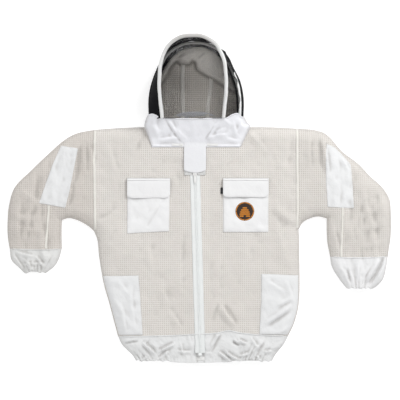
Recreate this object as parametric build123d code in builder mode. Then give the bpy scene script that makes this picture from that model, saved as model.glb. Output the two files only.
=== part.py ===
"""Beekeeping jacket of ventilated mesh with a zip-on fencing hood, laid flat on its back.

Millimetres. +X is the wearer's left, +Y runs from hem to hood, +Z is up, from the back panel to the
front. The jacket lies on the plane z = 0, centred on the middle of its bounding box. The cloth parts
are plain closed shells with the true outline and a real space inside.
"""
import os
from math import cos, radians, sin

from build123d import *

os.makedirs("parts", exist_ok=True)

# Driving dimensions -------------------------------------------------------------------------------
CLOTH = 3.0  # three-layer ventilated mesh
TWILL = 1.2  # single layer of cotton twill, as in pockets and patches
TAPE = 0.6  # zip tape
LAID_HEIGHT = 34.0  # height of the jacket's body when it lies flat
CUFF_SINK = 2.0  # the cuffs are this much thinner, top and bottom
SEAM_GAP = 0.5  # running gap between the armhole and a sleeve
MOUTH_REACH = 8.0  # how far an opening's cutter stands past the edge that it opens
ELASTIC_GAP = 0.3
ELASTIC_WALL = 1.2
ELASTIC_WIDTH = 15.0
BINDING_WIDTH = 5.0

SLEEVE_END_X = 602.0  # outermost point of each sleeve
HEM_Y = -505.0  # bottom of the hem
HEM_SEAM_Y = -420.0
HEM_SEAM_LOW_X = -256.0
HEM_SEAM_HIGH_X = 279.0
HEM_MOUTH_LOW_X = -193.0
HEM_MOUTH_HIGH_X = 223.0
SLIT_HALF = 1.5  # slit of the hem below the zip
RIGHT_SHOULDER_DROP = 4.0
LEFT_CUFF_SEAM_Y = -171.0
RIGHT_CUFF_SEAM_Y = -146.0
LEFT_CUFF_END_Y = -272.0
RIGHT_CUFF_END_Y = -223.0
LEFT_ARMHOLE_X = 312.0
RIGHT_ARMHOLE_X = -331.0
SHOULDER_Y = 231.0
LEFT_PIT_Y = -86.0
RIGHT_PIT_Y = -91.0

# Neck: a notch in the body that the collar fills
NECK_X = -11.5
NECK_HALF = 142.5
NECK_TOP_HALF = 160.0
NECK_TOP_Y = 236.0
BACK_NECK_Y = 189.0
FRONT_NECK_Y = 169.0
NECK_ZIP_Y = 180.0
COLLAR_BASE_Y = 191.0
COLLAR_TOP_Y = 250.0
COLLAR_BASE_HEIGHT = 37.0
COLLAR_TOP_HALF = 157.0
COLLAR_TOP_HEIGHT = 80.0
COLLAR_LIFT = 2.0

# Main zip, which leans a little because the jacket was not laid straight
ZIP_X = -11.0
ZIP_LEAN = 1.68
ZIP_TOP = 158.0
ZIP_BOTTOM = -472.0
ZIP_GAP_HALF = 11.0
TEETH_INNER = 1.0
TEETH_OUTER = 3.4
TEETH_LOW = 33.3
TEETH_HIGH = 35.5
MAIN_TAPE_HALF = 16.0
SLIDER_LENGTH = 14.0
SLIDER_HALF = 6.0
PLATE = 1.2
PIN_Z = 38.6
PIN_RADIUS = 0.5
PIN_HOLE_RADIUS = 0.8
PIN_SHIFT = -1.0  # the pin's place along the slider
PULL_LENGTH = 29.0
PULL_ROOT = 5.0  # where the tab starts, from the slider's middle
PULL_WIDTH = 6.8
MAIN_SLIDER_Y = 88.0
LEFT_NECK_SLIDER_X = 30.0
RIGHT_NECK_SLIDER_X = -57.0

# Pockets
POCKET_GAP = 5.0
POCKET_WALL = 1.5
MOUTH_HALF = 6.0
CHEST_MOUTH_Y = 60.0
CHEST_FLAP_TOP_Y = 68.0
CHEST_FLAP_LENGTH = 52.0
CHEST_BOTTOM_Y = -94.0
FLAP_LIFT = 1.4  # chest flap above the pocket patch
FLAP_CORNER = 5.0
STRIP_HALF = 30.0  # hook and loop strips of the chest flaps
STRIP_LOW = 5.0  # above the flap's edge
STRIP_WIDTH = 19.0
STRIP_THICKNESS = 0.5
BADGE_Y = -30.0
BADGE_THICKNESS = 1.0
BADGE_RADIUS = 30.0

# Neck flap over the junction of the two zips
FLAP_X = -13.5
FLAP_HALF = 34.5
FLAP_END_Y = 98.0
FLAP_TOP_Y = 190.0
FLAP_LOW = 37.2
PAD_LOW_Y = 84.0  # loop pads under the neck flap
PAD_HIGH_Y = 132.0
PAD_THICKNESS = 1.2
HOOK_THICKNESS = 0.8

# Hood: two hoops that fold about the sides of the collar
HINGE_Y = 258.0
HOOP_START = 6.0  # first point of each hoop, measured from its hinge axis
ROD_RADIUS = 2.4
CASING_BORE = 2.6
CASING_RADIUS = 5.5
FRONT_HOOP_X = -20.0
FRONT_HOOP_Z = 81.0
FRONT_HOOP_TILT = 32.0
FRONT_HOOP_FOOT = 95.0
# corners of the front hoop's line on one side, from foot to top, and the radius at each
FRONT_HOOP_CORNERS = [(104.0, 115.0), (97.0, 205.0), (72.0, 260.0), (30.0, 287.0)]
FRONT_HOOP_RADII = [500.0, 150.0, 76.0, 72.0]
REAR_HOOP_X = -12.0
REAR_HOOP_Z = 55.0
REAR_HOOP_TILT = 14.0
REAR_HOOP_HALF = 138.0
REAR_HOOP_REACH = 240.0
HOOD_HALF = 150.0  # outside of the hood's back
HOOD_BACK_Y = 499.0
HOOP_CLEARANCE = 8.0

TOP = LAID_HEIGHT
PLATE_LOW = LAID_HEIGHT - CLOTH

# Planes -------------------------------------------------------------------------------------------
lean = radians(ZIP_LEAN)
zip_plane = Plane(origin=(ZIP_X, 0, 0), x_dir=(cos(lean), sin(lean), 0))


def tilted_plane(x, z, degrees):
    """Plane through a hoop's hinge axis; its local y runs up the hoop."""
    tilt = radians(degrees)
    return Plane(origin=(x, HINGE_Y, z), x_dir=(1, 0, 0), z_dir=(0, -sin(tilt), cos(tilt)))


front_hoop_plane = tilted_plane(FRONT_HOOP_X, FRONT_HOOP_Z, FRONT_HOOP_TILT)
rear_hoop_plane = tilted_plane(REAR_HOOP_X, REAR_HOOP_Z, REAR_HOOP_TILT)

# Outlines, seen from above ------------------------------------------------------------------------
right_side = [
    (RIGHT_ARMHOLE_X, SHOULDER_Y - RIGHT_SHOULDER_DROP), (RIGHT_ARMHOLE_X, RIGHT_PIT_Y), (-321, -116),
    (-315, -170), (-300, -258), (-284, -314), (-269, -371), (HEM_SEAM_LOW_X, HEM_SEAM_Y),
]
left_side = [
    (HEM_SEAM_HIGH_X, HEM_SEAM_Y), (296, -385), (309, -340), (314, -300), (314, -163),
    (LEFT_ARMHOLE_X, LEFT_PIT_Y), (LEFT_ARMHOLE_X, SHOULDER_Y),
]
hem_outline = [
    (HEM_SEAM_LOW_X, HEM_SEAM_Y), (-243, -447), (-225, -466), (-207, -484), (-199, -498), (-90, HEM_Y + 4),
    (0, HEM_Y), (130, HEM_Y + 5), (229, -498), (236, -484), (249, -466), (266, -445),
    (HEM_SEAM_HIGH_X, HEM_SEAM_Y),
]
left_sleeve_outline = [
    (LEFT_ARMHOLE_X + SEAM_GAP, SHOULDER_Y), (364, 226), (396, 215), (450, 158), (500, 120), (535, 83),
    (576, 45), (597, 10), (SLEEVE_END_X, -28), (SLEEVE_END_X, -100), (592, LEFT_CUFF_SEAM_Y),
    (411, LEFT_CUFF_SEAM_Y),
    (402, -122), (400, -51), (374, -45), (350, -50), (325, -64), (LEFT_ARMHOLE_X + SEAM_GAP, LEFT_PIT_Y),
]
right_sleeve_outline = [
    (RIGHT_ARMHOLE_X - SEAM_GAP, SHOULDER_Y - RIGHT_SHOULDER_DROP),
    (-388, 215), (-423, 196), (-467, 158), (-527, 101),
    (-581, 45), (-597, -5), (-SLEEVE_END_X, -50), (-SLEEVE_END_X, -106), (-596, RIGHT_CUFF_SEAM_Y),
    (-432, RIGHT_CUFF_SEAM_Y),
    (-432, -56), (-410, -50), (-385, -56), (-360, -71), (RIGHT_ARMHOLE_X - SEAM_GAP, RIGHT_PIT_Y),
]
left_cuff_outline = [
    (592, LEFT_CUFF_SEAM_Y), (588, -201), (577, -242), (557, -264), (544, LEFT_CUFF_END_Y),
    (462, LEFT_CUFF_END_Y), (440, -242), (416, -201), (411, LEFT_CUFF_SEAM_Y),
]
right_cuff_outline = [
    (-596, RIGHT_CUFF_SEAM_Y), (-590, -182), (-568, -200), (-552, RIGHT_CUFF_END_Y),
    (-483, RIGHT_CUFF_END_Y), (-455, -201), (-442, -180), (-432, RIGHT_CUFF_SEAM_Y),
]
left_patch_outline = [(399, 183), (427, 171), (475, 117), (484, -18), (402, -15)]
right_patch_outline = [(-441, 168), (-382, 164), (-420, -18), (-502, -3)]
right_hip_outline = [
    (-303, -232), (-190, -229), (-184, -308), (-177, -417), (-254, -417), (-266, -371), (-281, -314),
    (-297, -258),
]
left_hip_outline = [
    (194, -223), (311, -229), (311, -300), (306, -340), (293, -385), (277, -417), (188, -417),
    (194, -308),
]
chest_pockets = {  # name: (low x, high x)
    "right": (-225.0, -92.0),
    "left": (75.0, 216.0),
}


def notch(neck_y):
    """Points of the neck notch, from the wearer's left to the right."""
    return [
        (NECK_X + NECK_TOP_HALF, NECK_TOP_Y), (NECK_X + NECK_HALF, neck_y),
        (NECK_X - NECK_HALF, neck_y), (NECK_X - NECK_TOP_HALF, NECK_TOP_Y),
    ]


def polygon(points):
    """A closed face in the active sketch."""
    with BuildLine() as outline:
        Polyline(*points, close=True)
    make_face(outline.edges())


def inset(points, distance):
    """The outline moved inwards by a distance, with its corners kept sharp."""
    corners = [Vector(x, y) for x, y in points]
    area = sum(a.X * b.Y - b.X * a.Y for a, b in zip(corners, corners[1:] + corners[:1]))
    turn = 1 if area > 0 else -1
    moved = []
    for before, corner, after in zip(corners[-1:] + corners[:-1], corners, corners[1:] + corners[:1]):
        first = (corner - before).normalized()
        second = (after - corner).normalized()
        first_in = Vector(-first.Y, first.X) * turn
        second_in = Vector(-second.Y, second.X) * turn
        middle = first_in + second_in
        moved.append(corner + middle * (2 * distance / middle.dot(middle)))
    return [(point.X, point.Y) for point in moved]


def rectangle(low_x, low_y, high_x, high_y, mode=Mode.ADD):
    """A rectangle in the active sketch, given by two corners."""
    with Locations(((low_x + high_x) / 2, (low_y + high_y) / 2)):
        Rectangle(high_x - low_x, high_y - low_y, mode=mode)


def save(part, name):
    part.label = name
    export_step(part, f"parts/{name}.step")


def flat_plate(outline, low, thickness):
    """A layer of cloth with the outline's shape."""
    with BuildPart() as plate:
        with BuildSketch(Plane.XY.offset(low)):
            polygon(outline)
        extrude(amount=thickness)
    return plate.part


def flat_box(low_x, low_y, high_x, high_y, low, high, plane=Plane.XY):
    """A strip between two corners and two heights."""
    with BuildPart() as strip:
        with BuildSketch(plane.offset(low)):
            rectangle(low_x, low_y, high_x, high_y)
        extrude(amount=high - low)
    return strip.part


def flat_shell(outline, low, high, wall, mouths):
    """A flat tube of cloth. Each mouth is a box in plan where its edge wall is cut away."""
    with BuildPart() as shell:
        with BuildSketch(Plane.XY.offset(low)):
            polygon(outline)
        extrude(amount=high - low)
        with BuildSketch(Plane.XY.offset(low + wall)):
            polygon(inset(outline, wall))
        extrude(amount=high - low - 2 * wall, mode=Mode.SUBTRACT)
        for mouth in mouths:
            with BuildSketch(Plane.XY.offset(low + wall)):
                rectangle(*mouth)
            extrude(amount=high - low - 2 * wall, mode=Mode.SUBTRACT)
    return shell.part


# Body ---------------------------------------------------------------------------------------------
save(flat_plate(notch(BACK_NECK_Y) + right_side + left_side, 0, CLOTH), "back_panel")

front_outline = notch(FRONT_NECK_Y) + right_side + left_side
for side, keep_left in (("left", True), ("right", False)):
    with BuildPart() as front_panel:
        with BuildSketch(Plane.XY.offset(CLOTH)):
            polygon(front_outline)
        extrude(amount=TOP - CLOTH)
        with BuildSketch(Plane.XY.offset(CLOTH)):
            polygon(inset(front_outline, CLOTH))
        extrude(amount=PLATE_LOW - CLOTH, mode=Mode.SUBTRACT)
        with BuildSketch(Plane.XY.offset(CLOTH)):
            # no wall at the armholes, the neck or the hem
            rectangle(LEFT_ARMHOLE_X - MOUTH_REACH, LEFT_PIT_Y, LEFT_ARMHOLE_X + MOUTH_REACH,
                      SHOULDER_Y - CLOTH)
            rectangle(RIGHT_ARMHOLE_X - MOUTH_REACH, RIGHT_PIT_Y, RIGHT_ARMHOLE_X + MOUTH_REACH,
                      SHOULDER_Y - RIGHT_SHOULDER_DROP - CLOTH)
            rectangle(NECK_X - NECK_TOP_HALF - MOUTH_REACH, FRONT_NECK_Y - MOUTH_REACH,
                      NECK_X + NECK_TOP_HALF + MOUTH_REACH, NECK_TOP_Y + MOUTH_REACH)
            rectangle(HEM_SEAM_LOW_X + CLOTH, HEM_SEAM_Y, HEM_SEAM_HIGH_X - CLOTH, HEM_SEAM_Y + MOUTH_REACH)
        extrude(amount=PLATE_LOW - CLOTH, mode=Mode.SUBTRACT)
        with BuildSketch(zip_plane):
            if keep_left:
                rectangle(-900, -900, ZIP_GAP_HALF, 900)
            else:
                rectangle(-ZIP_GAP_HALF, -900, 900, 900)
        extrude(amount=2 * TOP, mode=Mode.SUBTRACT)
    save(front_panel.part, f"{side}_front_panel")

with BuildPart() as hem_band:
    add(flat_shell(hem_outline, 0, TOP, CLOTH, [
        (HEM_SEAM_LOW_X + CLOTH, HEM_SEAM_Y - MOUTH_REACH, HEM_SEAM_HIGH_X - CLOTH, HEM_SEAM_Y + MOUTH_REACH),
        (HEM_MOUTH_LOW_X, HEM_Y, HEM_MOUTH_HIGH_X, HEM_Y + ELASTIC_WIDTH - 1),
    ]))
    with BuildSketch(zip_plane.offset(PLATE_LOW - 1)):
        rectangle(-ZIP_GAP_HALF, ZIP_BOTTOM - MOUTH_REACH, ZIP_GAP_HALF, HEM_SEAM_Y + 2 * MOUTH_REACH)
        rectangle(-SLIT_HALF, HEM_Y - MOUTH_REACH, SLIT_HALF, ZIP_BOTTOM)
    extrude(amount=CLOTH + 2, mode=Mode.SUBTRACT)
save(hem_band.part, "hem_band")

with BuildPart() as hem_elastic:
    low_x, high_x, low_y = HEM_MOUTH_LOW_X + 3, HEM_MOUTH_HIGH_X - 3, HEM_Y + 6
    high_y = low_y + ELASTIC_WIDTH
    add(flat_shell([(low_x, low_y), (high_x, low_y), (high_x, high_y), (low_x, high_y)],
                   CLOTH + ELASTIC_GAP, PLATE_LOW - ELASTIC_GAP, ELASTIC_WALL,
                   [(low_x + 2, low_y - MOUTH_REACH, high_x - 2, high_y + MOUTH_REACH)]))
    with BuildSketch(zip_plane.offset(PLATE_LOW - 4)):
        rectangle(-SLIT_HALF, HEM_Y - MOUTH_REACH, SLIT_HALF, ZIP_BOTTOM)
    extrude(amount=5, mode=Mode.SUBTRACT)
save(hem_elastic.part, "hem_elastic")

save(flat_box(LEFT_ARMHOLE_X - BINDING_WIDTH, LEFT_PIT_Y, LEFT_ARMHOLE_X, SHOULDER_Y, TOP, TOP + TWILL),
     "left_armhole_binding")
save(flat_box(RIGHT_ARMHOLE_X, RIGHT_PIT_Y, RIGHT_ARMHOLE_X + BINDING_WIDTH,
              SHOULDER_Y - RIGHT_SHOULDER_DROP, TOP, TOP + TWILL), "right_armhole_binding")


def patch_pocket(outline, mouth_y):
    """A patch with walls on three sides; it is open along the line y = mouth_y."""
    with BuildPart() as pocket:
        with BuildSketch(Plane.XY.offset(TOP)):
            polygon(outline)
        extrude(amount=POCKET_GAP + TWILL)
        with BuildSketch(Plane.XY.offset(TOP)):
            polygon(inset(outline, POCKET_WALL))
        extrude(amount=POCKET_GAP, mode=Mode.SUBTRACT)
        low_x = min(x for x, y in outline if y > mouth_y - 40) + POCKET_WALL + 1
        high_x = max(x for x, y in outline if y > mouth_y - 40) - POCKET_WALL - 1
        with BuildSketch(Plane.XY.offset(TOP)):
            rectangle(low_x, mouth_y - MOUTH_HALF, high_x, mouth_y + MOUTH_HALF)
        extrude(amount=POCKET_GAP, mode=Mode.SUBTRACT)
    return pocket.part


save(patch_pocket(right_hip_outline, -231), "right_hip_pocket")
save(patch_pocket(left_hip_outline, -226), "left_hip_pocket")

patch_top = TOP + POCKET_GAP + TWILL
flap_low = patch_top + FLAP_LIFT
for side, (low_x, high_x) in chest_pockets.items():
    corners = [(low_x, CHEST_BOTTOM_Y), (high_x, CHEST_BOTTOM_Y), (high_x, CHEST_MOUTH_Y),
               (low_x, CHEST_MOUTH_Y)]
    save(patch_pocket(corners, CHEST_MOUTH_Y), f"{side}_chest_pocket")
    middle = (low_x + high_x) / 2
    flap_end = CHEST_FLAP_TOP_Y - CHEST_FLAP_LENGTH
    strip_y = flap_end + STRIP_LOW
    for kind, strip_z in (("loop", patch_top), ("hook", flap_low - STRIP_THICKNESS)):
        save(flat_box(middle - STRIP_HALF, strip_y, middle + STRIP_HALF, strip_y + STRIP_WIDTH,
                      strip_z, strip_z + STRIP_THICKNESS), f"{side}_pocket_{kind}_strip")
    with BuildPart() as chest_flap:
        with BuildSketch(Plane.XY.offset(flap_low)) as flap_face:
            rectangle(low_x - 1, flap_end, high_x + 1, CHEST_FLAP_TOP_Y - 0.5)
            fillet(flap_face.vertices().group_by(Axis.Y)[0], radius=FLAP_CORNER)
        extrude(amount=TWILL)
    save(chest_flap.part, f"{side}_chest_flap")

badge_x = sum(chest_pockets["left"]) / 2 - 3
with BuildPart() as badge:
    with BuildSketch(Plane.XY.offset(patch_top)):
        with Locations((badge_x, BADGE_Y)):
            Circle(BADGE_RADIUS)
    extrude(amount=BADGE_THICKNESS)
save(badge.part, "pocket_badge")
label_edge = chest_pockets["left"][0]
save(flat_box(label_edge - 9, 24, label_edge, 46, TOP + 1, TOP + 3), "pocket_label_tab")

# Main zip -----------------------------------------------------------------------------------------
for side, sign in (("left", 1), ("right", -1)):
    near, far = sorted((sign * TEETH_OUTER, sign * MAIN_TAPE_HALF))
    save(flat_box(near, ZIP_BOTTOM, far, ZIP_TOP, TOP, TOP + TAPE, zip_plane), f"main_zip_{side}_tape")
    near, far = sorted((sign * TEETH_INNER, sign * TEETH_OUTER))
    save(flat_box(near, ZIP_BOTTOM, far, ZIP_TOP, TEETH_LOW, TEETH_HIGH, zip_plane),
         f"main_zip_{side}_teeth")
save(flat_box(-5, ZIP_BOTTOM - 7, 5, ZIP_BOTTOM, 32, 36, zip_plane), "main_zip_end_box")

with BuildPart() as loop_pads:
    for sign in (1, -1):
        with BuildSketch(zip_plane.offset(TOP + TAPE)):
            near, far = sorted((sign * (SLIDER_HALF + 1), sign * (FLAP_HALF - 2)))
            rectangle(near, PAD_LOW_Y, far, PAD_HIGH_Y)
        extrude(amount=PAD_THICKNESS)
save(loop_pads.part, "flap_loop_pads")


def zip_slider(plane):
    """Two plates joined by a post between the chains, with a lug that the pull's pin goes through."""
    with BuildPart() as slider:
        with BuildSketch(plane.offset(TEETH_LOW - 0.3 - PLATE)):
            RectangleRounded(2 * SLIDER_HALF, SLIDER_LENGTH, 2)
        extrude(amount=PLATE)
        with BuildSketch(plane.offset(TEETH_HIGH + 0.3)):
            RectangleRounded(2 * SLIDER_HALF, SLIDER_LENGTH, 2)
        extrude(amount=PLATE)
        with BuildSketch(plane.offset(TEETH_LOW - 0.3)):
            with Locations((0, 3)):
                Rectangle(1.2, 5)
        extrude(amount=TEETH_HIGH - TEETH_LOW + 0.6)
        with BuildSketch(plane.offset(TEETH_HIGH + 0.3 + PLATE)):
            Rectangle(2.4, 8)
        extrude(amount=PIN_Z + 1.3 - (TEETH_HIGH + 0.3 + PLATE))
        with Locations(plane.location * Location((0, PIN_SHIFT, PIN_Z), (0, 90, 0))):
            Cylinder(PIN_HOLE_RADIUS, 8, mode=Mode.SUBTRACT)
    return slider.part


def zip_pull(plane):
    """Flat tab on two cheeks, with the pin that turns in the slider's lug."""
    with BuildPart() as pull:
        with BuildSketch(plane.offset(PIN_Z - 0.6)) as tab:
            with Locations((0, -PULL_ROOT - (PULL_LENGTH - PULL_ROOT) / 2)):
                RectangleRounded(PULL_WIDTH, PULL_LENGTH - PULL_ROOT, 2)
            for sign in (1, -1):  # the two cheeks
                near, far = sorted((sign * 1.6, sign * PULL_WIDTH / 2))
                rectangle(near, -PULL_ROOT - 3, far, -0.1)
            with Locations((0, 4 - PULL_LENGTH)):
                Circle(1.4, mode=Mode.SUBTRACT)
        extrude(amount=1.2)
        with Locations(plane.location * Location((0, PIN_SHIFT, PIN_Z), (0, 90, 0))):
            Cylinder(PIN_RADIUS, PULL_WIDTH - 0.2)
    return pull.part


main_slider_plane = Plane(zip_plane.location * Location((0, MAIN_SLIDER_Y, 0)))
left_neck_plane = Plane(origin=(LEFT_NECK_SLIDER_X, NECK_ZIP_Y, 0), x_dir=(0, 1, 0))
right_neck_plane = Plane(origin=(RIGHT_NECK_SLIDER_X, NECK_ZIP_Y, 0), x_dir=(0, -1, 0))
for name, plane in (("main_zip", main_slider_plane), ("left_neck_zip", left_neck_plane),
                    ("right_neck_zip", right_neck_plane)):
    save(zip_slider(plane), f"{name}_slider")
    save(zip_pull(plane), f"{name}_pull")

# Neck zip and neck band ---------------------------------------------------------------------------
neck_low_x = NECK_X - NECK_HALF + 4
neck_high_x = NECK_X + NECK_HALF - 4
main_zip_top_x = ZIP_X - ZIP_TOP * sin(lean)
jacket_runs = ((neck_low_x, main_zip_top_x - ZIP_GAP_HALF), (main_zip_top_x + ZIP_GAP_HALF, neck_high_x))


def neck_strips(low_y, high_y, low, high):
    """A strip along the front of the neck, parted where the main zip ends."""
    with BuildPart() as strips:
        for low_x, high_x in jacket_runs:
            with BuildSketch(Plane.XY.offset(low)):
                rectangle(low_x, low_y, high_x, high_y)
            extrude(amount=high - low)
    return strips.part


save(neck_strips(NECK_ZIP_Y - TEETH_OUTER, NECK_ZIP_Y - TEETH_INNER, TEETH_LOW, TEETH_HIGH),
     "neck_zip_jacket_teeth")
save(neck_strips(FRONT_NECK_Y - 6, NECK_ZIP_Y - TEETH_OUTER, TOP, TOP + TAPE), "neck_zip_jacket_tape")
save(neck_strips(FRONT_NECK_Y - 4, NECK_ZIP_Y - SLIDER_HALF - 0.6, TOP + TAPE, TOP + TAPE + TWILL),
     "neck_band")
save(flat_box(neck_low_x, NECK_ZIP_Y + TEETH_INNER, neck_high_x, NECK_ZIP_Y + TEETH_OUTER,
              TEETH_LOW, TEETH_HIGH), "neck_zip_hood_teeth")
save(flat_box(neck_low_x + 12, NECK_ZIP_Y + TEETH_OUTER, neck_high_x - 12, COLLAR_BASE_Y, TOP, TOP + TAPE),
     "neck_zip_hood_tape")

# Sleeves ------------------------------------------------------------------------------------------
save(flat_shell(left_sleeve_outline, 0, TOP, CLOTH, [
    (LEFT_ARMHOLE_X, LEFT_PIT_Y + 12, LEFT_ARMHOLE_X + MOUTH_REACH, SHOULDER_Y - CLOTH),
    (416, LEFT_CUFF_SEAM_Y - 1, 587, LEFT_CUFF_SEAM_Y + MOUTH_REACH),
]), "left_sleeve")
save(flat_shell(right_sleeve_outline, 0, TOP, CLOTH, [
    (RIGHT_ARMHOLE_X - MOUTH_REACH, RIGHT_PIT_Y + 12, RIGHT_ARMHOLE_X, SHOULDER_Y - MOUTH_REACH),
    (-591, RIGHT_CUFF_SEAM_Y - 1, -436, RIGHT_CUFF_SEAM_Y + MOUTH_REACH),
]), "right_sleeve")
save(flat_shell(left_cuff_outline, CUFF_SINK, TOP - CUFF_SINK, 2 * TWILL, [
    (416, LEFT_CUFF_SEAM_Y - MOUTH_REACH, 587, LEFT_CUFF_SEAM_Y + 1),
    (465, LEFT_CUFF_END_Y - 1, 541, LEFT_CUFF_END_Y + MOUTH_REACH),
]), "left_cuff")
save(flat_shell(right_cuff_outline, CUFF_SINK, TOP - CUFF_SINK, 2 * TWILL, [
    (-591, RIGHT_CUFF_SEAM_Y - MOUTH_REACH, -436, RIGHT_CUFF_SEAM_Y + 1),
    (-549, RIGHT_CUFF_END_Y - 1, -486, RIGHT_CUFF_END_Y + MOUTH_REACH),
]), "right_cuff")
elastic_low = CUFF_SINK + 2 * TWILL + ELASTIC_GAP
elastic_high = TOP - elastic_low
for name, low_x, high_x, low_y in (
    ("left", 469, 537, LEFT_CUFF_END_Y + 4), ("right", -546, -489, RIGHT_CUFF_END_Y + 4),
):
    high_y = low_y + ELASTIC_WIDTH
    save(flat_shell([(low_x, low_y), (high_x, low_y), (high_x, high_y), (low_x, high_y)],
                    elastic_low, elastic_high, ELASTIC_WALL,
                    [(low_x + 2, low_y - MOUTH_REACH, high_x - 2, high_y + MOUTH_REACH)]),
         f"{name}_cuff_elastic")
save(flat_plate(left_patch_outline, TOP, TWILL), "left_sleeve_patch")
save(flat_plate(right_patch_outline, TOP, TWILL), "right_sleeve_patch")
save(flat_plate([(443, -170), (448, -170), (450, -19), (445, -19)], TOP, TWILL), "left_sleeve_binding")
save(flat_plate([(-482, -145), (-477, -145), (-470, -13), (-475, -12)], TOP, TWILL), "right_sleeve_binding")

# Collar and hood ----------------------------------------------------------------------------------
with BuildPart() as collar:
    for inset, mode in ((0.0, Mode.ADD), (CLOTH, Mode.SUBTRACT)):
        base_height = COLLAR_BASE_HEIGHT - 2 * inset
        top_height = COLLAR_TOP_HEIGHT - 2 * inset
        base_plane = Plane(origin=(NECK_X, COLLAR_BASE_Y, COLLAR_BASE_HEIGHT / 2), x_dir=(1, 0, 0),
                           z_dir=(0, -1, 0))
        top_plane = Plane(origin=(NECK_X, COLLAR_TOP_Y, COLLAR_LIFT + COLLAR_TOP_HEIGHT / 2),
                          x_dir=(1, 0, 0), z_dir=(0, -1, 0))
        with BuildSketch(base_plane):
            RectangleRounded(2 * (NECK_HALF - 2 - inset), base_height, base_height / 2 - 0.1)
        with BuildSketch(top_plane):
            RectangleRounded(2 * (COLLAR_TOP_HALF - inset), top_height, top_height / 2 - 0.1)
        loft(ruled=True, mode=mode)
save(collar.part, "collar")


def front_hoop_line(inwards, start):
    """The front hoop's line in its own plane, moved inwards by a distance: an arch with drawn-in feet."""
    right = [(FRONT_HOOP_FOOT - inwards, start)]
    for x, y in FRONT_HOOP_CORNERS:
        right.append((x - inwards, y - inwards * y / FRONT_HOOP_CORNERS[-1][1]))
    left = [(-x, y) for x, y in right]
    radii = [radius - min(inwards, radius / 10) for radius in FRONT_HOOP_RADII]
    FilletPolyline(*left, *right[::-1], radius=radii + radii[::-1])


def rear_hoop_line(half, reach, start):
    """A wider hoop with shoulders, close to half an ellipse."""
    side_radius = 1.7 * half
    crown_radius = 0.75 * half
    FilletPolyline((-half, start), (-half, 0.41 * reach), (-0.545 * half, reach), (0.545 * half, reach),
                   (half, 0.41 * reach), (half, start),
                   radius=[side_radius, crown_radius, crown_radius, side_radius])


def tube_section(path, outer, inner):
    """Ring or disc across the path's start."""
    with BuildSketch(Plane(origin=path @ 0, z_dir=path % 0)) as section:
        Circle(outer)
        if inner:
            Circle(inner, mode=Mode.SUBTRACT)
    return section.sketch


for name, outer, inner in (("rod", ROD_RADIUS, 0), ("casing", CASING_RADIUS, CASING_BORE)):
    with BuildPart() as front_tube:
        with BuildLine(front_hoop_plane) as front_path:
            front_hoop_line(0, HOOP_START)
        sweep(tube_section(front_path.line, outer, inner), path=front_path.line)
    save(front_tube.part, f"front_hoop_{name}")
    with BuildPart() as rear_tube:
        with BuildLine(rear_hoop_plane) as rear_path:
            rear_hoop_line(REAR_HOOP_HALF, REAR_HOOP_REACH, HOOP_START)
        sweep(tube_section(rear_path.line, outer, inner), path=rear_path.line)
    save(rear_tube.part, f"rear_hoop_{name}")

with BuildPart() as front_veil:
    with BuildSketch(front_hoop_plane.offset(-0.75)):
        with BuildLine():
            front_hoop_line(CASING_RADIUS, HOOP_START + 6)
            foot = FRONT_HOOP_FOOT - CASING_RADIUS
            Line((foot, HOOP_START + 6), (-foot, HOOP_START + 6))
        make_face()
    extrude(amount=1.5)
save(front_veil.part, "front_veil")


def hood_footprint(half, reach, start=0, mode=Mode.ADD):
    """Plan of the hood behind the collar, in the active sketch."""
    with BuildLine() as plan:
        rear_hoop_line(half, reach, start)
        Line((half, start), (-half, start))
    make_face(plan.edges(), mode=mode)


footprint_plane = Plane(origin=(REAR_HOOP_X, COLLAR_TOP_Y, 0), x_dir=(1, 0, 0))
hood_reach = HOOD_BACK_Y - COLLAR_TOP_Y
with BuildPart() as hood_back:
    with BuildSketch(footprint_plane):
        hood_footprint(HOOD_HALF, hood_reach)
    extrude(amount=2 * COLLAR_TOP_HEIGHT)
    with BuildSketch(footprint_plane.offset(CLOTH)):
        hood_footprint(HOOD_HALF - CLOTH, hood_reach - CLOTH)
    extrude(amount=2 * COLLAR_TOP_HEIGHT, mode=Mode.SUBTRACT)
    split(bisect_by=rear_hoop_plane.offset(-HOOP_CLEARANCE), keep=Keep.BOTTOM)
save(hood_back.part, "hood_back")

with BuildPart() as hood_back_tapes:
    for tape_x in (-51, 24):
        with BuildSketch(Plane.XY.offset(CLOTH)):
            rectangle(tape_x - 4, COLLAR_TOP_Y + 6, tape_x + 4, COLLAR_TOP_Y + 200)
        extrude(amount=1.0)
save(hood_back_tapes.part, "hood_back_tapes")

netting_half = (FRONT_HOOP_CORNERS[0][0] + REAR_HOOP_HALF) / 2
netting_plane = Plane(origin=((FRONT_HOOP_X + REAR_HOOP_X) / 2, HINGE_Y + HOOP_START, 0), x_dir=(1, 0, 0))
netting_reach = HOOD_BACK_Y - 4 - HINGE_Y - HOOP_START
with BuildPart() as side_netting:
    with BuildSketch(netting_plane):
        hood_footprint(netting_half, netting_reach)
        hood_footprint(netting_half - 2, netting_reach - 2, start=-5, mode=Mode.SUBTRACT)
    extrude(amount=4 * COLLAR_TOP_HEIGHT)
    split(bisect_by=rear_hoop_plane.offset(HOOP_CLEARANCE), keep=Keep.TOP)
    split(bisect_by=front_hoop_plane.offset(-HOOP_CLEARANCE), keep=Keep.BOTTOM)
save(side_netting.part, "side_netting")

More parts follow.
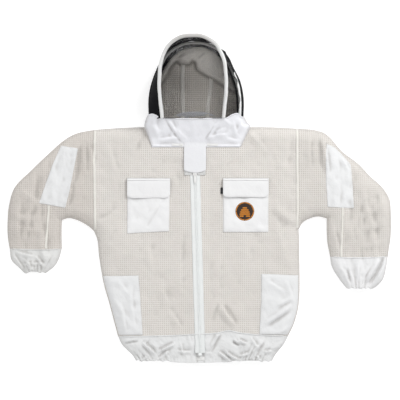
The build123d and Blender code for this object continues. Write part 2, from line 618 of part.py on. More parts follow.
# Neck flap ----------------------------------------------------------------------------------------
with BuildPart() as neck_flap:
    with BuildSketch(Plane.XY.offset(FLAP_LOW)) as flap_face:
        rectangle(FLAP_X - FLAP_HALF, FLAP_END_Y, FLAP_X + FLAP_HALF, FLAP_TOP_Y)
        fillet(flap_face.vertices().group_by(Axis.Y)[0], radius=4)
    extrude(amount=TWILL)
save(neck_flap.part, "neck_flap")
with BuildPart() as flap_hook_pads:
    for sign in (1, -1):
        with BuildSketch(Plane.XY.offset(FLAP_LOW - HOOK_THICKNESS)):
            near, far = sorted((FLAP_X + sign * 8, FLAP_X + sign * (FLAP_HALF - 3)))
            rectangle(near, FLAP_END_Y + 3, far, FLAP_END_Y + 32)
        extrude(amount=HOOK_THICKNESS)
save(flap_hook_pads.part, "flap_hook_pads")

print("main zip travel", round(MAIN_SLIDER_Y - SLIDER_LENGTH / 2 - ZIP_BOTTOM - 4, 1))
print("zip direction", round(sin(lean), 5), round(-cos(lean), 5))
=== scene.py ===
"""Looks of the beekeeping jacket, laid flat on its back.

Lengths in the tables are millimetres in the part's own frame; meshes are made in metres.
"""
from math import cos, pi, radians, sin, tan

import bpy
import numpy as np
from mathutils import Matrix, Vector
from mathutils.geometry import delaunay_2d_cdt


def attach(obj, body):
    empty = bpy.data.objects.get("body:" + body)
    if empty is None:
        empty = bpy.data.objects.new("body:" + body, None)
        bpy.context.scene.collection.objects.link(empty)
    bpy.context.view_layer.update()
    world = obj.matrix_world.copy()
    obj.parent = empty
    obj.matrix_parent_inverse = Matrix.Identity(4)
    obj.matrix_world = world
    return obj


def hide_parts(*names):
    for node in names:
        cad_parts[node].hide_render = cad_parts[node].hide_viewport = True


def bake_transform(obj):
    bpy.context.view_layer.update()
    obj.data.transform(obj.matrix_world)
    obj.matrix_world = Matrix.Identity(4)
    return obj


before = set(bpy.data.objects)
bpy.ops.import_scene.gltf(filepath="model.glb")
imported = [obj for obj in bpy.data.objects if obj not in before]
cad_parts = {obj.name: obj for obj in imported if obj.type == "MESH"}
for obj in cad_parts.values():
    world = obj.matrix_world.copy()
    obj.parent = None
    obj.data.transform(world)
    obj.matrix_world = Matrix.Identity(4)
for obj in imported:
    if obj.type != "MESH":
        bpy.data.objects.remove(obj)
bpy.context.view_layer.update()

MM = 0.001
TINY = 1e-9  # keeps a division safe
PEAK = 33.0  # top of the laid cloth, below the CAD's 34
SIDE_Z = 11.0  # height of the side folds
ZIP_TOP, ZIP_BOTTOM = 158.0, -472.0
ZIP_LEAN = 1.68  # degrees


# Small geometry ------------------------------------------------------------------------------------
def resample(line, step):
    """The polyline again, with even steps."""
    line = np.array(line, float)
    along = np.concatenate([[0], np.cumsum(np.linalg.norm(np.diff(line, axis=0), axis=1))])
    count = max(1, round(along[-1] / step))
    at = np.linspace(0, along[-1], count + 1)
    return np.column_stack([np.interp(at, along, line[:, k]) for k in range(line.shape[1])])


def smooth(points, step=5.0):
    """A smooth curve through the points that never overshoots much."""
    p = np.array(points, float)
    if len(p) == 2:
        return resample(p, step)
    run = p[1:] - p[:-1]
    run /= np.linalg.norm(run, axis=1)[:, None]
    tangent = np.vstack([run, run[-1:]]) + np.vstack([run[:1], run])
    tangent /= np.linalg.norm(tangent, axis=1)[:, None] + TINY
    rows = []
    t = np.linspace(0, 1, 20, endpoint=False)[:, None]
    for a, b, ta, tb in zip(p[:-1], p[1:], tangent[:-1], tangent[1:]):
        size = np.linalg.norm(b - a)
        rows.append((2 * t**3 - 3 * t**2 + 1) * a + (t**3 - 2 * t**2 + t) * size * ta
                    + (3 * t**2 - 2 * t**3) * b + (t**3 - t**2) * size * tb)
    return resample(np.vstack(rows + [p[-1:]]), step)


def join(*lines):
    """Lines end to end as one closed outline, without repeated corners."""
    out = []
    for line in lines:
        for point in np.array(line, float):
            if not out or np.linalg.norm(out[-1] - point) > 0.3:
                out.append(point)
    if np.linalg.norm(out[0] - out[-1]) < 0.3:
        out.pop()
    return np.array(out)


def distance(points, *lines):
    """Distance from each point to the nearest of the polylines."""
    best = np.full(len(points), 1e9)
    for line in lines:
        line = np.array(line, float)
        for a, b in zip(line[:-1], line[1:]):
            step = b - a
            t = np.clip(((points - a) @ step) / (step @ step + 1e-12), 0, 1)
            best = np.minimum(best, np.hypot(*(points - a - t[:, None] * step).T))
    return best


def inside(points, outline):
    """True for the points within the closed outline."""
    result = np.zeros(len(points), bool)
    for (x0, y0), (x1, y1) in zip(outline, np.roll(outline, -1, axis=0)):
        if y0 == y1:
            continue
        crosses = (points[:, 1] >= min(y0, y1)) & (points[:, 1] < max(y0, y1))
        result ^= crosses & (points[:, 0] < x0 + (points[:, 1] - y0) * (x1 - x0) / (y1 - y0))
    return result


def closed(outline):
    """The outline with its first point again at its end."""
    return np.vstack([outline, outline[:1]])


def ring(corners, step):
    """The outline through the corners in even steps."""
    return resample(closed(np.array(corners, float)), step)[:-1]


def box(low_x, low_y, high_x, high_y, step):
    return ring([(low_x, low_y), (high_x, low_y), (high_x, high_y), (low_x, high_y)], step)


def fill(outline, spacing, rings=()):
    """Triangles over the closed outline, with rows of points close to its border."""
    border = closed(outline)
    low, high = outline.min(0), outline.max(0)
    loose = []
    for k, y in enumerate(np.arange(low[1], high[1], spacing * 0.866)):
        xs = np.arange(low[0] + (k % 2) * spacing / 2, high[0], spacing)
        loose.append(np.column_stack([xs, np.full(len(xs), y)]))
    loose = np.vstack(loose)
    loose = loose[inside(loose, outline)]
    clear = (max(rings) if rings else 0) + spacing * 0.6
    points = [outline, loose[distance(loose, border) > clear]]
    x, y = outline.T
    area = 0.5 * np.sum(x * np.roll(y, -1) - np.roll(x, -1) * y)
    step = np.roll(outline, -1, axis=0) - np.roll(outline, 1, axis=0)
    inward = np.column_stack([-step[:, 1], step[:, 0]]) * np.sign(area)
    inward /= np.linalg.norm(inward, axis=1)[:, None] + TINY
    for inset in rings:
        extra = outline + inward * inset
        extra = extra[inside(extra, outline)]
        points.append(extra[distance(extra, border) > inset * 0.85])
    verts = np.vstack(points)
    count = len(outline)
    made = delaunay_2d_cdt([tuple(v) for v in verts], [], [list(range(count))], 1, 1e-5)
    flat = np.array([tuple(v) for v in made[0]])
    faces = [tuple(f) for f in made[2]]
    used = sorted({i for f in faces for i in f})
    index = {old: new for new, old in enumerate(used)}
    faces = [tuple(index[i] for i in f) for f in faces]
    turned = []
    for a, b, c in faces:
        pa, pb, pc = flat[used[a]], flat[used[b]], flat[used[c]]
        up = (pb[0] - pa[0]) * (pc[1] - pa[1]) - (pb[1] - pa[1]) * (pc[0] - pa[0]) > 0
        turned.append((a, b, c) if up else (a, c, b))
    return flat[used], turned


def make(name, verts, faces, material, uv=None, slot=None, shade=True):
    """A mesh object from millimetres; uv is in metres of flat cloth, one pair for each vertex."""
    mesh = bpy.data.meshes.new(name)
    mesh.from_pydata((np.asarray(verts, float) * MM).tolist(), [], [tuple(int(i) for i in f) for f in faces])
    if uv is not None:
        layer = mesh.uv_layers.new(name="flat")
        corner = np.zeros(len(mesh.loops), np.int32)
        mesh.loops.foreach_get("vertex_index", corner)
        layer.data.foreach_set("uv", (np.asarray(uv, float) * MM)[corner].astype(np.float32).ravel())
    for kind in material if isinstance(material, (list, tuple)) else [material]:
        mesh.materials.append(kind)
    if shade:
        mesh.polygons.foreach_set("use_smooth", [True] * len(mesh.polygons))
    mesh.update()
    piece = bpy.data.objects.new(name, mesh)
    bpy.context.scene.collection.objects.link(piece)
    return piece


def put(piece, body, *nodes):
    """The piece rides on the body, and stands for the CAD nodes."""
    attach(piece, body)
    if nodes:
        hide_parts(*nodes)


def normals(verts, faces):
    """Smooth normals at the vertices of triangles or quads."""
    total = np.zeros_like(verts)
    by_size = {}
    for f in faces:
        by_size.setdefault(len(f), []).append(f)
    for group in by_size.values():
        group = np.array(group)
        a, b, c = verts[group[:, 0]], verts[group[:, 1]], verts[group[:, -1]]
        n = np.cross(b - a, c - a)
        for k in range(group.shape[1]):
            np.add.at(total, group[:, k], n)
    return total / (np.linalg.norm(total, axis=1)[:, None] + 1e-12)


def thicken(verts, faces, uv, thickness):
    """A sheet given thickness on the side that its normals leave."""
    verts = np.asarray(verts, float)
    under = verts - normals(verts, faces) * thickness
    count = len(verts)
    sides = {}
    for f in faces:
        for a, b in zip(f, f[1:] + f[:1]):
            sides[(a, b)] = True
    rim = [(b, a, a + count, b + count) for a, b in sides if (b, a) not in sides]
    both = list(faces) + [tuple(i + count for i in reversed(f)) for f in faces] + rim
    return np.vstack([verts, under]), both, np.vstack([uv, uv])


# Outlines ------------------------------------------------------------------------------------------
LEFT_ARMHOLE_X, RIGHT_ARMHOLE_X = 312.0, -331.0
seams = {
    "left_side": smooth([(279, -420), (296, -385), (309, -340), (314, -300), (315, -230), (314, -163),
                         (314, -116), (312, -86)]),
    "left_under": smooth([(312, -86), (325, -64), (350, -50), (374, -45), (400, -51)]),
    "left_inner": smooth([(400, -51), (402, -122), (411, -171)]),
    "left_over": smooth([(312, 231), (364, 226), (396, 215), (450, 158), (500, 120), (535, 83), (576, 45),
                         (597, 10), (602, -28), (602, -100), (592, -171)]),
    "left_cuff_seam": smooth([(411, -171), (470, -174), (535, -173), (592, -171)]),
    "left_cuff_outer": smooth([(592, -171), (588, -201), (577, -242), (557, -264), (544, -272)], 4),
    "left_cuff_end": smooth([(462, -270), (471, -272), (478, -269), (488, -272), (497, -270), (506, -272),
                             (515, -269), (523, -272), (530, -267), (537, -272), (544, -272)], 2.5),
    "left_cuff_inner": smooth([(462, -270), (440, -242), (416, -201), (411, -171)], 4),
    "left_shoulder": smooth([(148, 236), (230, 235), (312, 231)]),
    "left_armhole": smooth([(312, -86), (312, 231)]),
    "left_hem_side": smooth([(279, -420), (266, -445), (249, -466), (236, -484), (229, -498)], 4),
    "right_side": smooth([(-331, -91), (-321, -116), (-315, -170), (-300, -258), (-284, -314), (-269, -371),
                          (-256, -420)]),
    "right_under": smooth([(-331, -91), (-345, -78), (-360, -68), (-385, -56), (-410, -50), (-432, -56)]),
    "right_inner": smooth([(-432, -56), (-433, -100), (-432, -146)]),
    "right_over": smooth([(-331, 227), (-388, 215), (-423, 196), (-467, 158), (-527, 101), (-581, 45),
                          (-597, -5), (-602, -50), (-602, -106), (-596, -146)]),
    "right_cuff_seam": smooth([(-432, -146), (-480, -149), (-550, -148), (-596, -146)]),
    "right_cuff_outer": smooth([(-596, -146), (-590, -182), (-568, -205), (-552, -221)], 4),
    "right_cuff_end": smooth([(-483, -223), (-493, -220), (-502, -223), (-511, -216), (-527, -214),
                              (-536, -221), (-544, -224), (-552, -221)], 2.5),
    "right_cuff_inner": smooth([(-483, -223), (-455, -201), (-442, -180), (-432, -146)], 4),
    "right_shoulder": smooth([(-331, 227), (-250, 233), (-171, 236)]),
    "right_armhole": smooth([(-331, -91), (-331, 227)]),
    "right_hem_side": smooth([(-256, -420), (-243, -447), (-225, -466), (-207, -484), (-199, -498)], 4),
    "hem_end": smooth([(229, -498), (215, -500), (206, -495), (195, -501), (184, -494), (174, -497),
                       (163, -492),
                       (151, -497), (140, -494), (126, -499), (112, -496), (98, -501), (60, -502), (0, -504),
                       (-50, -503), (-92, -500), (-104, -496), (-114, -500), (-128, -494), (-140, -499),
                       (-152, -494), (-163, -499), (-172, -495), (-181, -501), (-190, -495), (-199, -498)],
                       2.5),
}
hem_seam = smooth([(-256, -420), (-171, -420), (0, -413), (58, -409), (92, -402), (128, -409), (190, -416),
                   (279, -420)])
# where front and back are one cloth, folded over; the other lines are seams and open ends
folded = [resample(line, 14) for name, line in seams.items() if not name.endswith(("seam", "end", "armhole"))]


def zip_x(y):
    """Middle of the main zip at a height on the jacket."""
    return -11 - np.asarray(y, float) * tan(radians(ZIP_LEAN))


# Lie of the cloth ----------------------------------------------------------------------------------
def ease(t):
    t = np.clip(t, 0, 1)
    return t * t * (3 - 2 * t)


def bulge(t):
    """Rounded edge: steep at 0, level at 1."""
    return (1 - (1 - np.clip(t, 0, 1)) ** 2) ** 0.8


def waves(points, seed, count, short, long, height, stretch=(1.0, 1.0)):
    """Soft irregular undulation with wavelengths between short and long."""
    draw = np.random.default_rng(seed)
    x = points[:, 0] / stretch[0] + 9 * np.sin(points[:, 1] / 61 + seed)
    y = points[:, 1] / stretch[1] + 9 * np.sin(points[:, 0] / 77 + 2 * seed)
    total, power = np.zeros(len(points)), 0.0
    for _ in range(count):
        length = short * (long / short) ** draw.random()
        angle, phase = draw.random() * pi, draw.random() * 2 * pi
        total += length / long * np.sin((x * cos(angle) + y * sin(angle)) * 2 * pi / length + phase)
        power += (length / long) ** 2 / 2
    return total * height / power**0.5


def creases(points, table):
    """Folds: each runs between two points with a width and a height; one flank is steeper."""
    total = np.zeros(len(points))
    for x0, y0, x1, y1, width, height in table:
        a, run = np.array([x0, y0], float), np.array([x1 - x0, y1 - y0], float)
        size = np.hypot(*run)
        t = ((points - a) @ run) / size**2
        side = ((points[:, 0] - x0) * run[1] - (points[:, 1] - y0) * run[0]) / size
        side = side + 0.10 * size * np.sin(t * 2.6 + x0) * 0.5
        along = np.exp(-(np.abs(2 * t - 1) ** 3))
        along = along * ease((1.25 - np.abs(2 * t - 1)) / 0.6)
        ridge = np.exp(-((side / width) ** 2) * np.where(side > 0, 1.0, 3.0))
        dip = np.exp(-(((side + 1.25 * width) / (0.8 * width)) ** 2))
        total += height * along * (ridge - 0.45 * dip)
    return total


body_folds = [  # x, y to x, y, then width and height
    (68, -322, 108, -392, 11, 7.5), (389, 196, 396, 92, 9, 7.5), (372, 205, 386, 110, 8, -4.5),
    (436, 160, 472, 100, 8, 5.0), (-378, 180, -404, 60, 9, 7.0), (-402, 70, -420, -18, 8, 4.5),
    (-452, 158, -476, 60, 11, 4.2), (-560, 40, -500, -10, 15, 4.5), (-580, -40, -470, -52, 15, 2.6),
    (-590, -84, -470, -96, 13, 2.2), (585, 8, 500, -50, 16, 2.8), (592, -60, 500, -88, 14, 2.0),
    (590, -128, 488, -132, 12, 1.4), (-330, -80, -250, -20, 15, 4.0), (314, -76, 232, -8, 16, 4.0),
    (-296, 200, -262, 60, 17, 3.0), (282, 214, 250, 96, 17, 3.0), (-60, -60, -48, -300, 15, 2.2),
    (52, -120, 60, -300, 15, 2.2), (-160, -110, -150, -215, 18, 2.8), (238, -40, 262, -190, 17, 2.6),
    (-290, -150, -240, -90, 14, 2.8), (140, -110, 150, -200, 18, 2.4), (150, 236, 205, 150, 13, 3.4),
    (-172, 236, -215, 150, 13, 3.2), (-150, 190, -120, 110, 11, 2.4), (100, 180, 70, 110, 11, 2.4),
    (-346, 196, -338, 110, 7, 4.0), (-362, 190, -352, 90, 7, 3.2), (-519, 70, -531, -110, 12, 4.4),
    (-556, 20, -566, -120, 12, 3.8), (-492, 60, -500, -120, 11, 3.0), (-452, -40, -456, -140, 9, 3.0),
    (342, 214, 352, 110, 8, 3.4), (420, -60, 428, -160, 9, 3.0), (520, 60, 540, -120, 13, 3.4),
    (60, -300, 20, -392, 12, 2.6), (-96, -330, -60, -400, 12, 2.8), (-130, -250, -90, -330, 14, 2.2),
]
pocket_folds = [
    (284, -320, 206, -386, 10, 7.5), (292, -300, 240, -330, 8, 3.4), (283, -388, 232, -420, 8, 5.0),
    (-130, 4, -171, -81, 8, 2.6), (206, 10, 160, -60, 9, 1.0), (-276, -300, -214, -390, 12, 3.8),
    (-262, -242, -210, -300, 10, 2.6), (212, -240, 262, -282, 9, 3.0), (-210, -250, -200, -400, 9, 2.8),
    (-250, -330, -228, -410, 8, 3.4), (270, -240, 292, -320, 8, 3.0),
]
hem_folds = [
    (-240, -441, -190, -437, 5, -5.0), (-181, -441, -137, -475, 6, 7.5), (-124, -471, -79, -440, 5.5, 8.0),
    (-128, -491, -97, -465, 5, 5.5), (-35, -412, -13, -463, 6, 6.5), (67, -411, 31, -467, 6, 6.5),
    (-72, -465, -20, -467, 5, 4.0), (-4, -470, 40, -470, 5, 4.5), (104, -434, 126, -448, 5, -7.0),
    (124, -429, 148, -444, 5, 7.0), (58, -471, 98, -495, 5, 7.5), (84, -473, 128, -493, 5, 6.5),
    (128, -483, 160, -469, 5, 6.0), (181, -478, 190, -498, 5, 5.0), (203, -470, 226, -464, 5, 5.5),
    (283, -430, 226, -462, 7, 6.5), (196, -432, 170, -472, 7, 4.2), (-203, -478, -191, -498, 5, 6.0),
    (-176, -497, -166, -482, 5, 5.0), (-160, -426, -172, -452, 5, 3.0), (160, -424, 190, -458, 6, 3.6),
    (-226, -452, -206, -478, 6, 4.0), (-60, -440, -44, -480, 5, 3.2), (10, -440, 6, -490, 5, 2.4),
]
cuff_folds = [
    (584, -170, 530, -258, 8, -14.0), (566, -176, 512, -252, 8, 5.0), (460, -208, 476, -250, 5, -5.0),
    (440, -200, 466, -258, 7, 3.4),
    (500, -196, 498, -250, 6, 2.6), (530, -200, 508, -256, 6, 3.0), (556, -216, 520, -262, 5, 4.0),
    (-588, -162, -547, -214, 6.5, 7.0), (-576, -160, -515, -166, 6, 5.0), (-511, -166, -487, -204, 6, 6.0),
    (-535, -176, -534, -212, 5, 4.4), (-470, -164, -490, -214, 6, 4.4), (-444, -160, -480, -210, 6, 3.4),
    (-560, -192, -482, -196, 5, 3.4), (-548, -176, -522, -212, 5, 4.4), (-503, -190, -503, -218, 4.5, 4.6),
]


def gathers(points):
    """Pleats that an elastic draws in: the hem's and the cuffs', growing towards the elastic."""
    x, y = points[:, 0], points[:, 1]
    total = np.zeros(len(points))
    low_x = np.interp(y, [-498, -484, -466, -447, -420], [-199, -207, -225, -243, -256])
    high_x = np.interp(y, [-498, -484, -466, -445, -420], [229, 236, 249, 266, 279])
    share = (x - low_x) / (high_x - low_x)
    depth = np.clip((-398 - y) / 90, 0, 1) ** 1.6 * (np.abs(x) < 330)
    depth = depth * (0.4 + 0.6 * ease((np.abs(x - 10) - 70) / 80))  # nearly smooth below the zip
    wave = np.sin(2 * pi * 19 * share + 2.6 * np.sin(7.1 * share) + 1.3 * np.sin(31 * share))
    fine = np.sin(2 * pi * 43 * share + 2.2 * np.sin(17 * share))
    uneven = 0.6 + 0.4 * np.sin(23 * share + 1) * np.sin(9 * share)
    total += depth * uneven * (2.3 * wave + 2.6 * fine * depth)
    for end_y, start_y, middle, half_end, half_start in (
            (-272, -178, 503, 41, 88), (-223, -152, -517, 35, 80)):
        pull = np.clip((start_y - y) / (start_y - end_y), 0, 1)
        near = (np.abs(x - middle) < 110) * (y < start_y)
        share = (x - middle) / (half_start + (half_end - half_start) * pull)
        wave = np.sin(9.5 * share + 1.1 * np.sin(3 * share + middle) + middle)
        fine = np.sin(26 * share + 1.4 * np.sin(5 * share) + middle)
        total += near * pull**1.5 * (2.4 * wave * (1 - 0.4 * pull) + 2.4 * pull * fine)
    return total


def drawn_in(points):
    """From 0 to 1 towards the hem's elastic, and towards the cuffs' elastics."""
    x, y = points[:, 0], points[:, 1]
    hem = ease((-440 - y) / 55) * (np.abs(x) < 330)
    cuffs = ease((-176 - y) / 80) * (x > 380) + ease((-150 - y) / 66) * (x < -400)
    return hem, cuffs


def lie(points):
    """Height of the upper cloth away from the side folds."""
    x, y = points[:, 0], points[:, 1]
    rise = PEAK - 2.2 + waves(points, 3, 26, 60, 210, 1.25) + waves(points, 11, 30, 24, 60, 0.32)
    rise += creases(points, body_folds)
    rise += 1.25 * creases(points, hem_folds) * (y < -395) + creases(points, cuff_folds)
    rise += gathers(points)
    arm = np.clip((np.abs(x) - 340) / 120, 0, 1)
    rise += arm * (waves(points, 21, 18, 45, 110, 1.6, (0.5, 1.7))
                   + waves(points, 22, 14, 20, 44, 0.5, (0.6, 1.6)))
    # level along the two zips, where the sliders run
    level = 1 - ease((np.abs(x - zip_x(y)) - 17) / 34)
    level = level * ease((y + 500) / 50)
    neck = (1 - ease((np.abs(x + 11.5) - 132) / 30)) * ease((y - 120) / 34)
    held = np.maximum(level, neck)
    rise = rise * (1 - held) + (PEAK + 0.6) * held
    hem, cuffs = drawn_in(points)
    return rise - 5.5 * hem - 5 * cuffs


def side_fold(points):
    """Height of the folds at the garment's sides."""
    return SIDE_Z + 1.5 * np.sin(points[:, 0] / 41) * np.sin(points[:, 1] / 47)


def top(points):
    """Height of the upper cloth's outer face."""
    points = np.asarray(points, float)
    edge = side_fold(points)
    return edge + (lie(points) - edge) * bulge(distance(points, *folded) / 38)


def under(points):
    """Height of the lower cloth's outer face."""
    points = np.asarray(points, float)
    edge = side_fold(points)
    out = bulge(distance(points, *folded) / 24)
    low = 0.5 + 0.5 * np.abs(waves(points, 5, 16, 70, 160, 1.0))
    low = low + sum(drawn_in(points)) * (2.6 + 0.8 * gathers(points + 40))
    return edge + (np.maximum(low, 0.2) - edge) * out


def skin(outline, spacing, surface, rings=(1.5, 5.0), flip=False):
    """One layer of cloth over an outline: vertices, faces, and the flat place of each vertex."""
    flat, faces = fill(outline, spacing, rings)
    verts = np.column_stack([flat, surface(flat)])
    if flip:
        faces = [tuple(reversed(f)) for f in faces]
    return verts, faces, flat


def merge(*parts):
    """Layers as one mesh; vertices that coincide are shared."""
    verts = np.vstack([p[0] for p in parts])
    uv = np.vstack([p[2] for p in parts])
    faces, start = [], 0
    for v, f, _ in parts:
        faces += [tuple(i + start for i in face) for face in f]
        start += len(v)
    seen, index = {}, np.zeros(len(verts), int)
    keys = np.round(verts / 0.02).astype(int)
    for i, key in enumerate(map(tuple, keys)):
        index[i] = seen.setdefault(key, i)
    used = np.unique(index)
    renumber = np.zeros(len(verts), int)
    renumber[used] = np.arange(len(used))
    faces = [tuple(renumber[index[i]] for i in f) for f in faces]
    faces = [f for f in faces if len(set(f)) == len(f)]
    return verts[used], faces, uv[used]


# Materials -----------------------------------------------------------------------------------------
CELL = 6.6  # one cell of the ventilated mesh
WAVE_TURN = 6.28  # the wave texture's radians for each line


class Paint:
    """A node material; inputs given as sockets are linked, the rest are set."""

    def __init__(self, name, roughness=0.85, **shader):
        self.material = bpy.data.materials.new(name)
        self.material.use_nodes = True
        self.tree = self.material.node_tree
        self.shader = self.tree.nodes["Principled BSDF"]
        self.shader.inputs["Roughness"].default_value = roughness
        for socket, value in shader.items():
            self.shader.inputs[socket.replace("_", " ")].default_value = value

    def add(self, kind, inputs=None, output=0, **settings):
        node = self.tree.nodes.new("ShaderNode" + kind)
        for key, value in settings.items():
            setattr(node, key, value)
        for key, value in (inputs or {}).items():
            if isinstance(value, bpy.types.NodeSocket):
                self.tree.links.new(value, node.inputs[key])
            else:
                node.inputs[key].default_value = value
        return node.outputs[output]

    def math(self, operation, a, b=0.0, clamp=False):
        return self.add("Math", {0: a, 1: b}, operation=operation, use_clamp=clamp)

    def place(self, scale=(1, 1, 1), turn=0.0):
        """Flat place on the cloth, in metres times scale."""
        at = self.add("UVMap", uv_map="flat")
        return self.add("Mapping", {0: at, "Scale": scale, "Rotation": (0, 0, turn)})

    def noise(self, vector, scale, detail=3.0, rough=0.55):
        return self.add("TexNoise", {"Vector": vector, "Scale": scale, "Detail": detail, "Roughness": rough})

    def mix(self, share, a, b):
        node = self.tree.nodes.new("ShaderNodeMix")
        node.data_type = "RGBA"
        for key, value in ((0, share), (6, a), (7, b)):
            if isinstance(value, bpy.types.NodeSocket):
                self.tree.links.new(value, node.inputs[key])
            else:
                node.inputs[key].default_value = (*value, 1) if isinstance(value, tuple) else value
        return node.outputs[2]

    def painted_shade(self, colour, at_sides=0.3, in_folds=0.42):
        """The colour with painted shade: darker round the garment's sides and down in the folds."""
        near = self.math("MULTIPLY", self.add("Attribute", output=2, attribute_name="edge"), at_sides)
        deep = self.math("MULTIPLY", self.add("Attribute", output=2, attribute_name="fold"), in_folds)
        return self.mix(self.math("ADD", near, deep, clamp=True), colour, (0.30, 0.28, 0.26))

    def finish(self, colour, height=None, depth=0.0005, under=None, under_depth=0.002):
        """Colour and one or two bumps, then the material."""
        self.tree.links.new(colour, self.shader.inputs["Base Color"])
        normal = None
        for field, reach in ((under, under_depth), (height, depth)):
            if field is not None:
                inputs = {"Height": field, "Distance": reach, "Strength": 1.0}
                if normal is not None:
                    inputs["Normal"] = normal
                normal = self.add("Bump", inputs)
        if normal is not None:
            self.tree.links.new(normal, self.shader.inputs["Normal"])
        return self.material


def grid_fabric(name, thread, hole, at_sides=0.3):
    """Three-layer ventilated mesh: ribs around open cells."""
    paint = Paint(name, 0.9, Sheen_Weight=0.15)
    flat = paint.place()
    wobble = paint.noise(flat, 60, 2)
    shift = paint.add("VectorMath", {0: paint.add("CombineXYZ", {0: wobble, 1: wobble}), 3: 0.0012},
                      operation="SCALE")
    moved = paint.add("VectorMath", {0: flat, 1: shift}, operation="ADD")
    turn = 2 * pi / (CELL * MM)
    wave = paint.add("VectorMath", {0: paint.add("VectorMath", {0: moved, 3: turn}, operation="SCALE")},
                     operation="COSINE")
    parts = paint.tree.nodes.new("ShaderNodeSeparateXYZ")
    paint.tree.links.new(wave, parts.inputs[0])
    rib = paint.math("MAXIMUM", parts.outputs[0], parts.outputs[1])
    rib = paint.add("MapRange", {0: rib, 1: -0.25, 2: 0.75}, interpolation_type="SMOOTHSTEP")
    patchy = paint.noise(flat, 11, 4)
    soil = paint.add("MapRange", {0: patchy, 1: 0.35, 2: 0.7, 3: 0.0, 4: 0.3})
    light = paint.mix(soil, thread, tuple(c * 0.9 for c in thread))
    clear = paint.add("MapRange", {0: paint.noise(flat, 15, 3), 1: 0.3, 2: 0.7, 3: 0.42, 4: 0.0})
    rib_shown = paint.math("ADD", paint.math("MULTIPLY", rib, paint.math("SUBTRACT", 1.0, clear)),
                           paint.math("MULTIPLY", clear, 0.62))
    colour = paint.painted_shade(paint.mix(rib_shown, hole, light), at_sides)
    fuzz = paint.noise(flat, 1400, 2)
    height = paint.math("ADD", rib, paint.math("MULTIPLY", fuzz, 0.35))
    wrinkle = paint.noise(flat, 26, 5, 0.5)
    return paint.finish(colour, height, 0.0009, wrinkle, 0.004)


def weave(name, colour, rough=0.85, sheen=0.2, lines=1100.0, turn=0.9, wrinkle_depth=0.003, depth=0.00012,
          shade=0.93, at_sides=0.3):
    """Plain or twill cotton: fine diagonal lines, slight slubs, soft creases."""
    paint = Paint(name, rough, Sheen_Weight=sheen)
    flat = paint.place(turn=turn)
    line = paint.add("TexWave", {"Vector": flat, "Scale": lines / WAVE_TURN, "Distortion": 0.6,
                                 "Detail": 1.0, "Detail Scale": 2.0})
    slub = paint.noise(paint.place((1, 14, 1)), 240, 2)
    cloud = paint.noise(flat, 9, 4)
    share = paint.math("MULTIPLY", paint.math("ADD", slub, cloud), 0.4)
    tint = paint.mix(share, colour, tuple(c * shade for c in colour))
    wrinkle = paint.noise(flat, 34, 5, 0.52)
    height = paint.math("ADD", line, paint.math("MULTIPLY", slub, 0.5))
    return paint.finish(paint.painted_shade(tint, at_sides), height, depth, wrinkle, wrinkle_depth)


def plastic(name, colour, rough, coat=0.0):
    """Moulded plastic: fine grain, a little wear."""
    paint = Paint(name, rough, Coat_Weight=coat)
    at = paint.add("TexCoord", output=3)
    speck = paint.noise(at, 900.0, 2)
    wear = paint.noise(at, 120, 3)
    share = paint.add("MapRange", {0: wear, 1: 0.4, 2: 0.75, 3: 0.0, 4: 0.35})
    return paint.finish(paint.mix(share, colour, tuple(c * 0.82 for c in colour)), speck, 0.00004)


MESH = grid_fabric("ventilated_mesh", (0.735, 0.71, 0.68), (0.61, 0.57, 0.525))
# painted shade: the sleeves' copies of the mesh are darker than the body's, the right sleeve's most, on the
# side away from the key light
MESH_ARM = {"left": grid_fabric("ventilated_mesh_left_arm", (0.70, 0.675, 0.645), (0.58, 0.54, 0.495)),
            "right": grid_fabric("ventilated_mesh_right_arm", (0.665, 0.63, 0.595), (0.535, 0.49, 0.445))}
# painted light: the hood's copies of the mesh are much lighter than the jacket's, making up for the shade
# under the netting; the crown's copy is lighter still, as if nearer the light
MESH_BACK = grid_fabric("ventilated_mesh_hood", (0.91, 0.87, 0.815), (0.58, 0.52, 0.455), at_sides=0.75)
MESH_CROWN = grid_fabric("ventilated_mesh_crown", (0.99, 0.955, 0.905), (0.92, 0.87, 0.80), at_sides=0.75)
TWILL = weave("white_twill", (0.80, 0.80, 0.805))
TWILL_WORN = weave("white_twill_worn", (0.755, 0.76, 0.765), wrinkle_depth=0.004)
# painted shade: the right cuff's copy of the twill is darker, on the side away from the key light
CUFF = {"left": weave("white_twill_cuff", (0.79, 0.79, 0.795), wrinkle_depth=0.004),
        "right": weave("white_twill_cuff_shaded", (0.725, 0.725, 0.715), wrinkle_depth=0.006)}
HEM = weave("white_twill_hem", (0.755, 0.76, 0.76), wrinkle_depth=0.007)
COLLAR = weave("collar_cotton", (0.85, 0.855, 0.89), lines=1500.0, wrinkle_depth=0.003, at_sides=0.5)
FLAP = weave("neck_flap_cotton", (0.765, 0.77, 0.79), lines=1500.0, wrinkle_depth=0.002)
CASING = weave("hoop_casing_cotton", (0.82, 0.825, 0.82), lines=1500.0, wrinkle_depth=0.001, at_sides=0.6)
BINDING = weave("cream_binding", (0.80, 0.78, 0.73), lines=1800.0, wrinkle_depth=0.001)
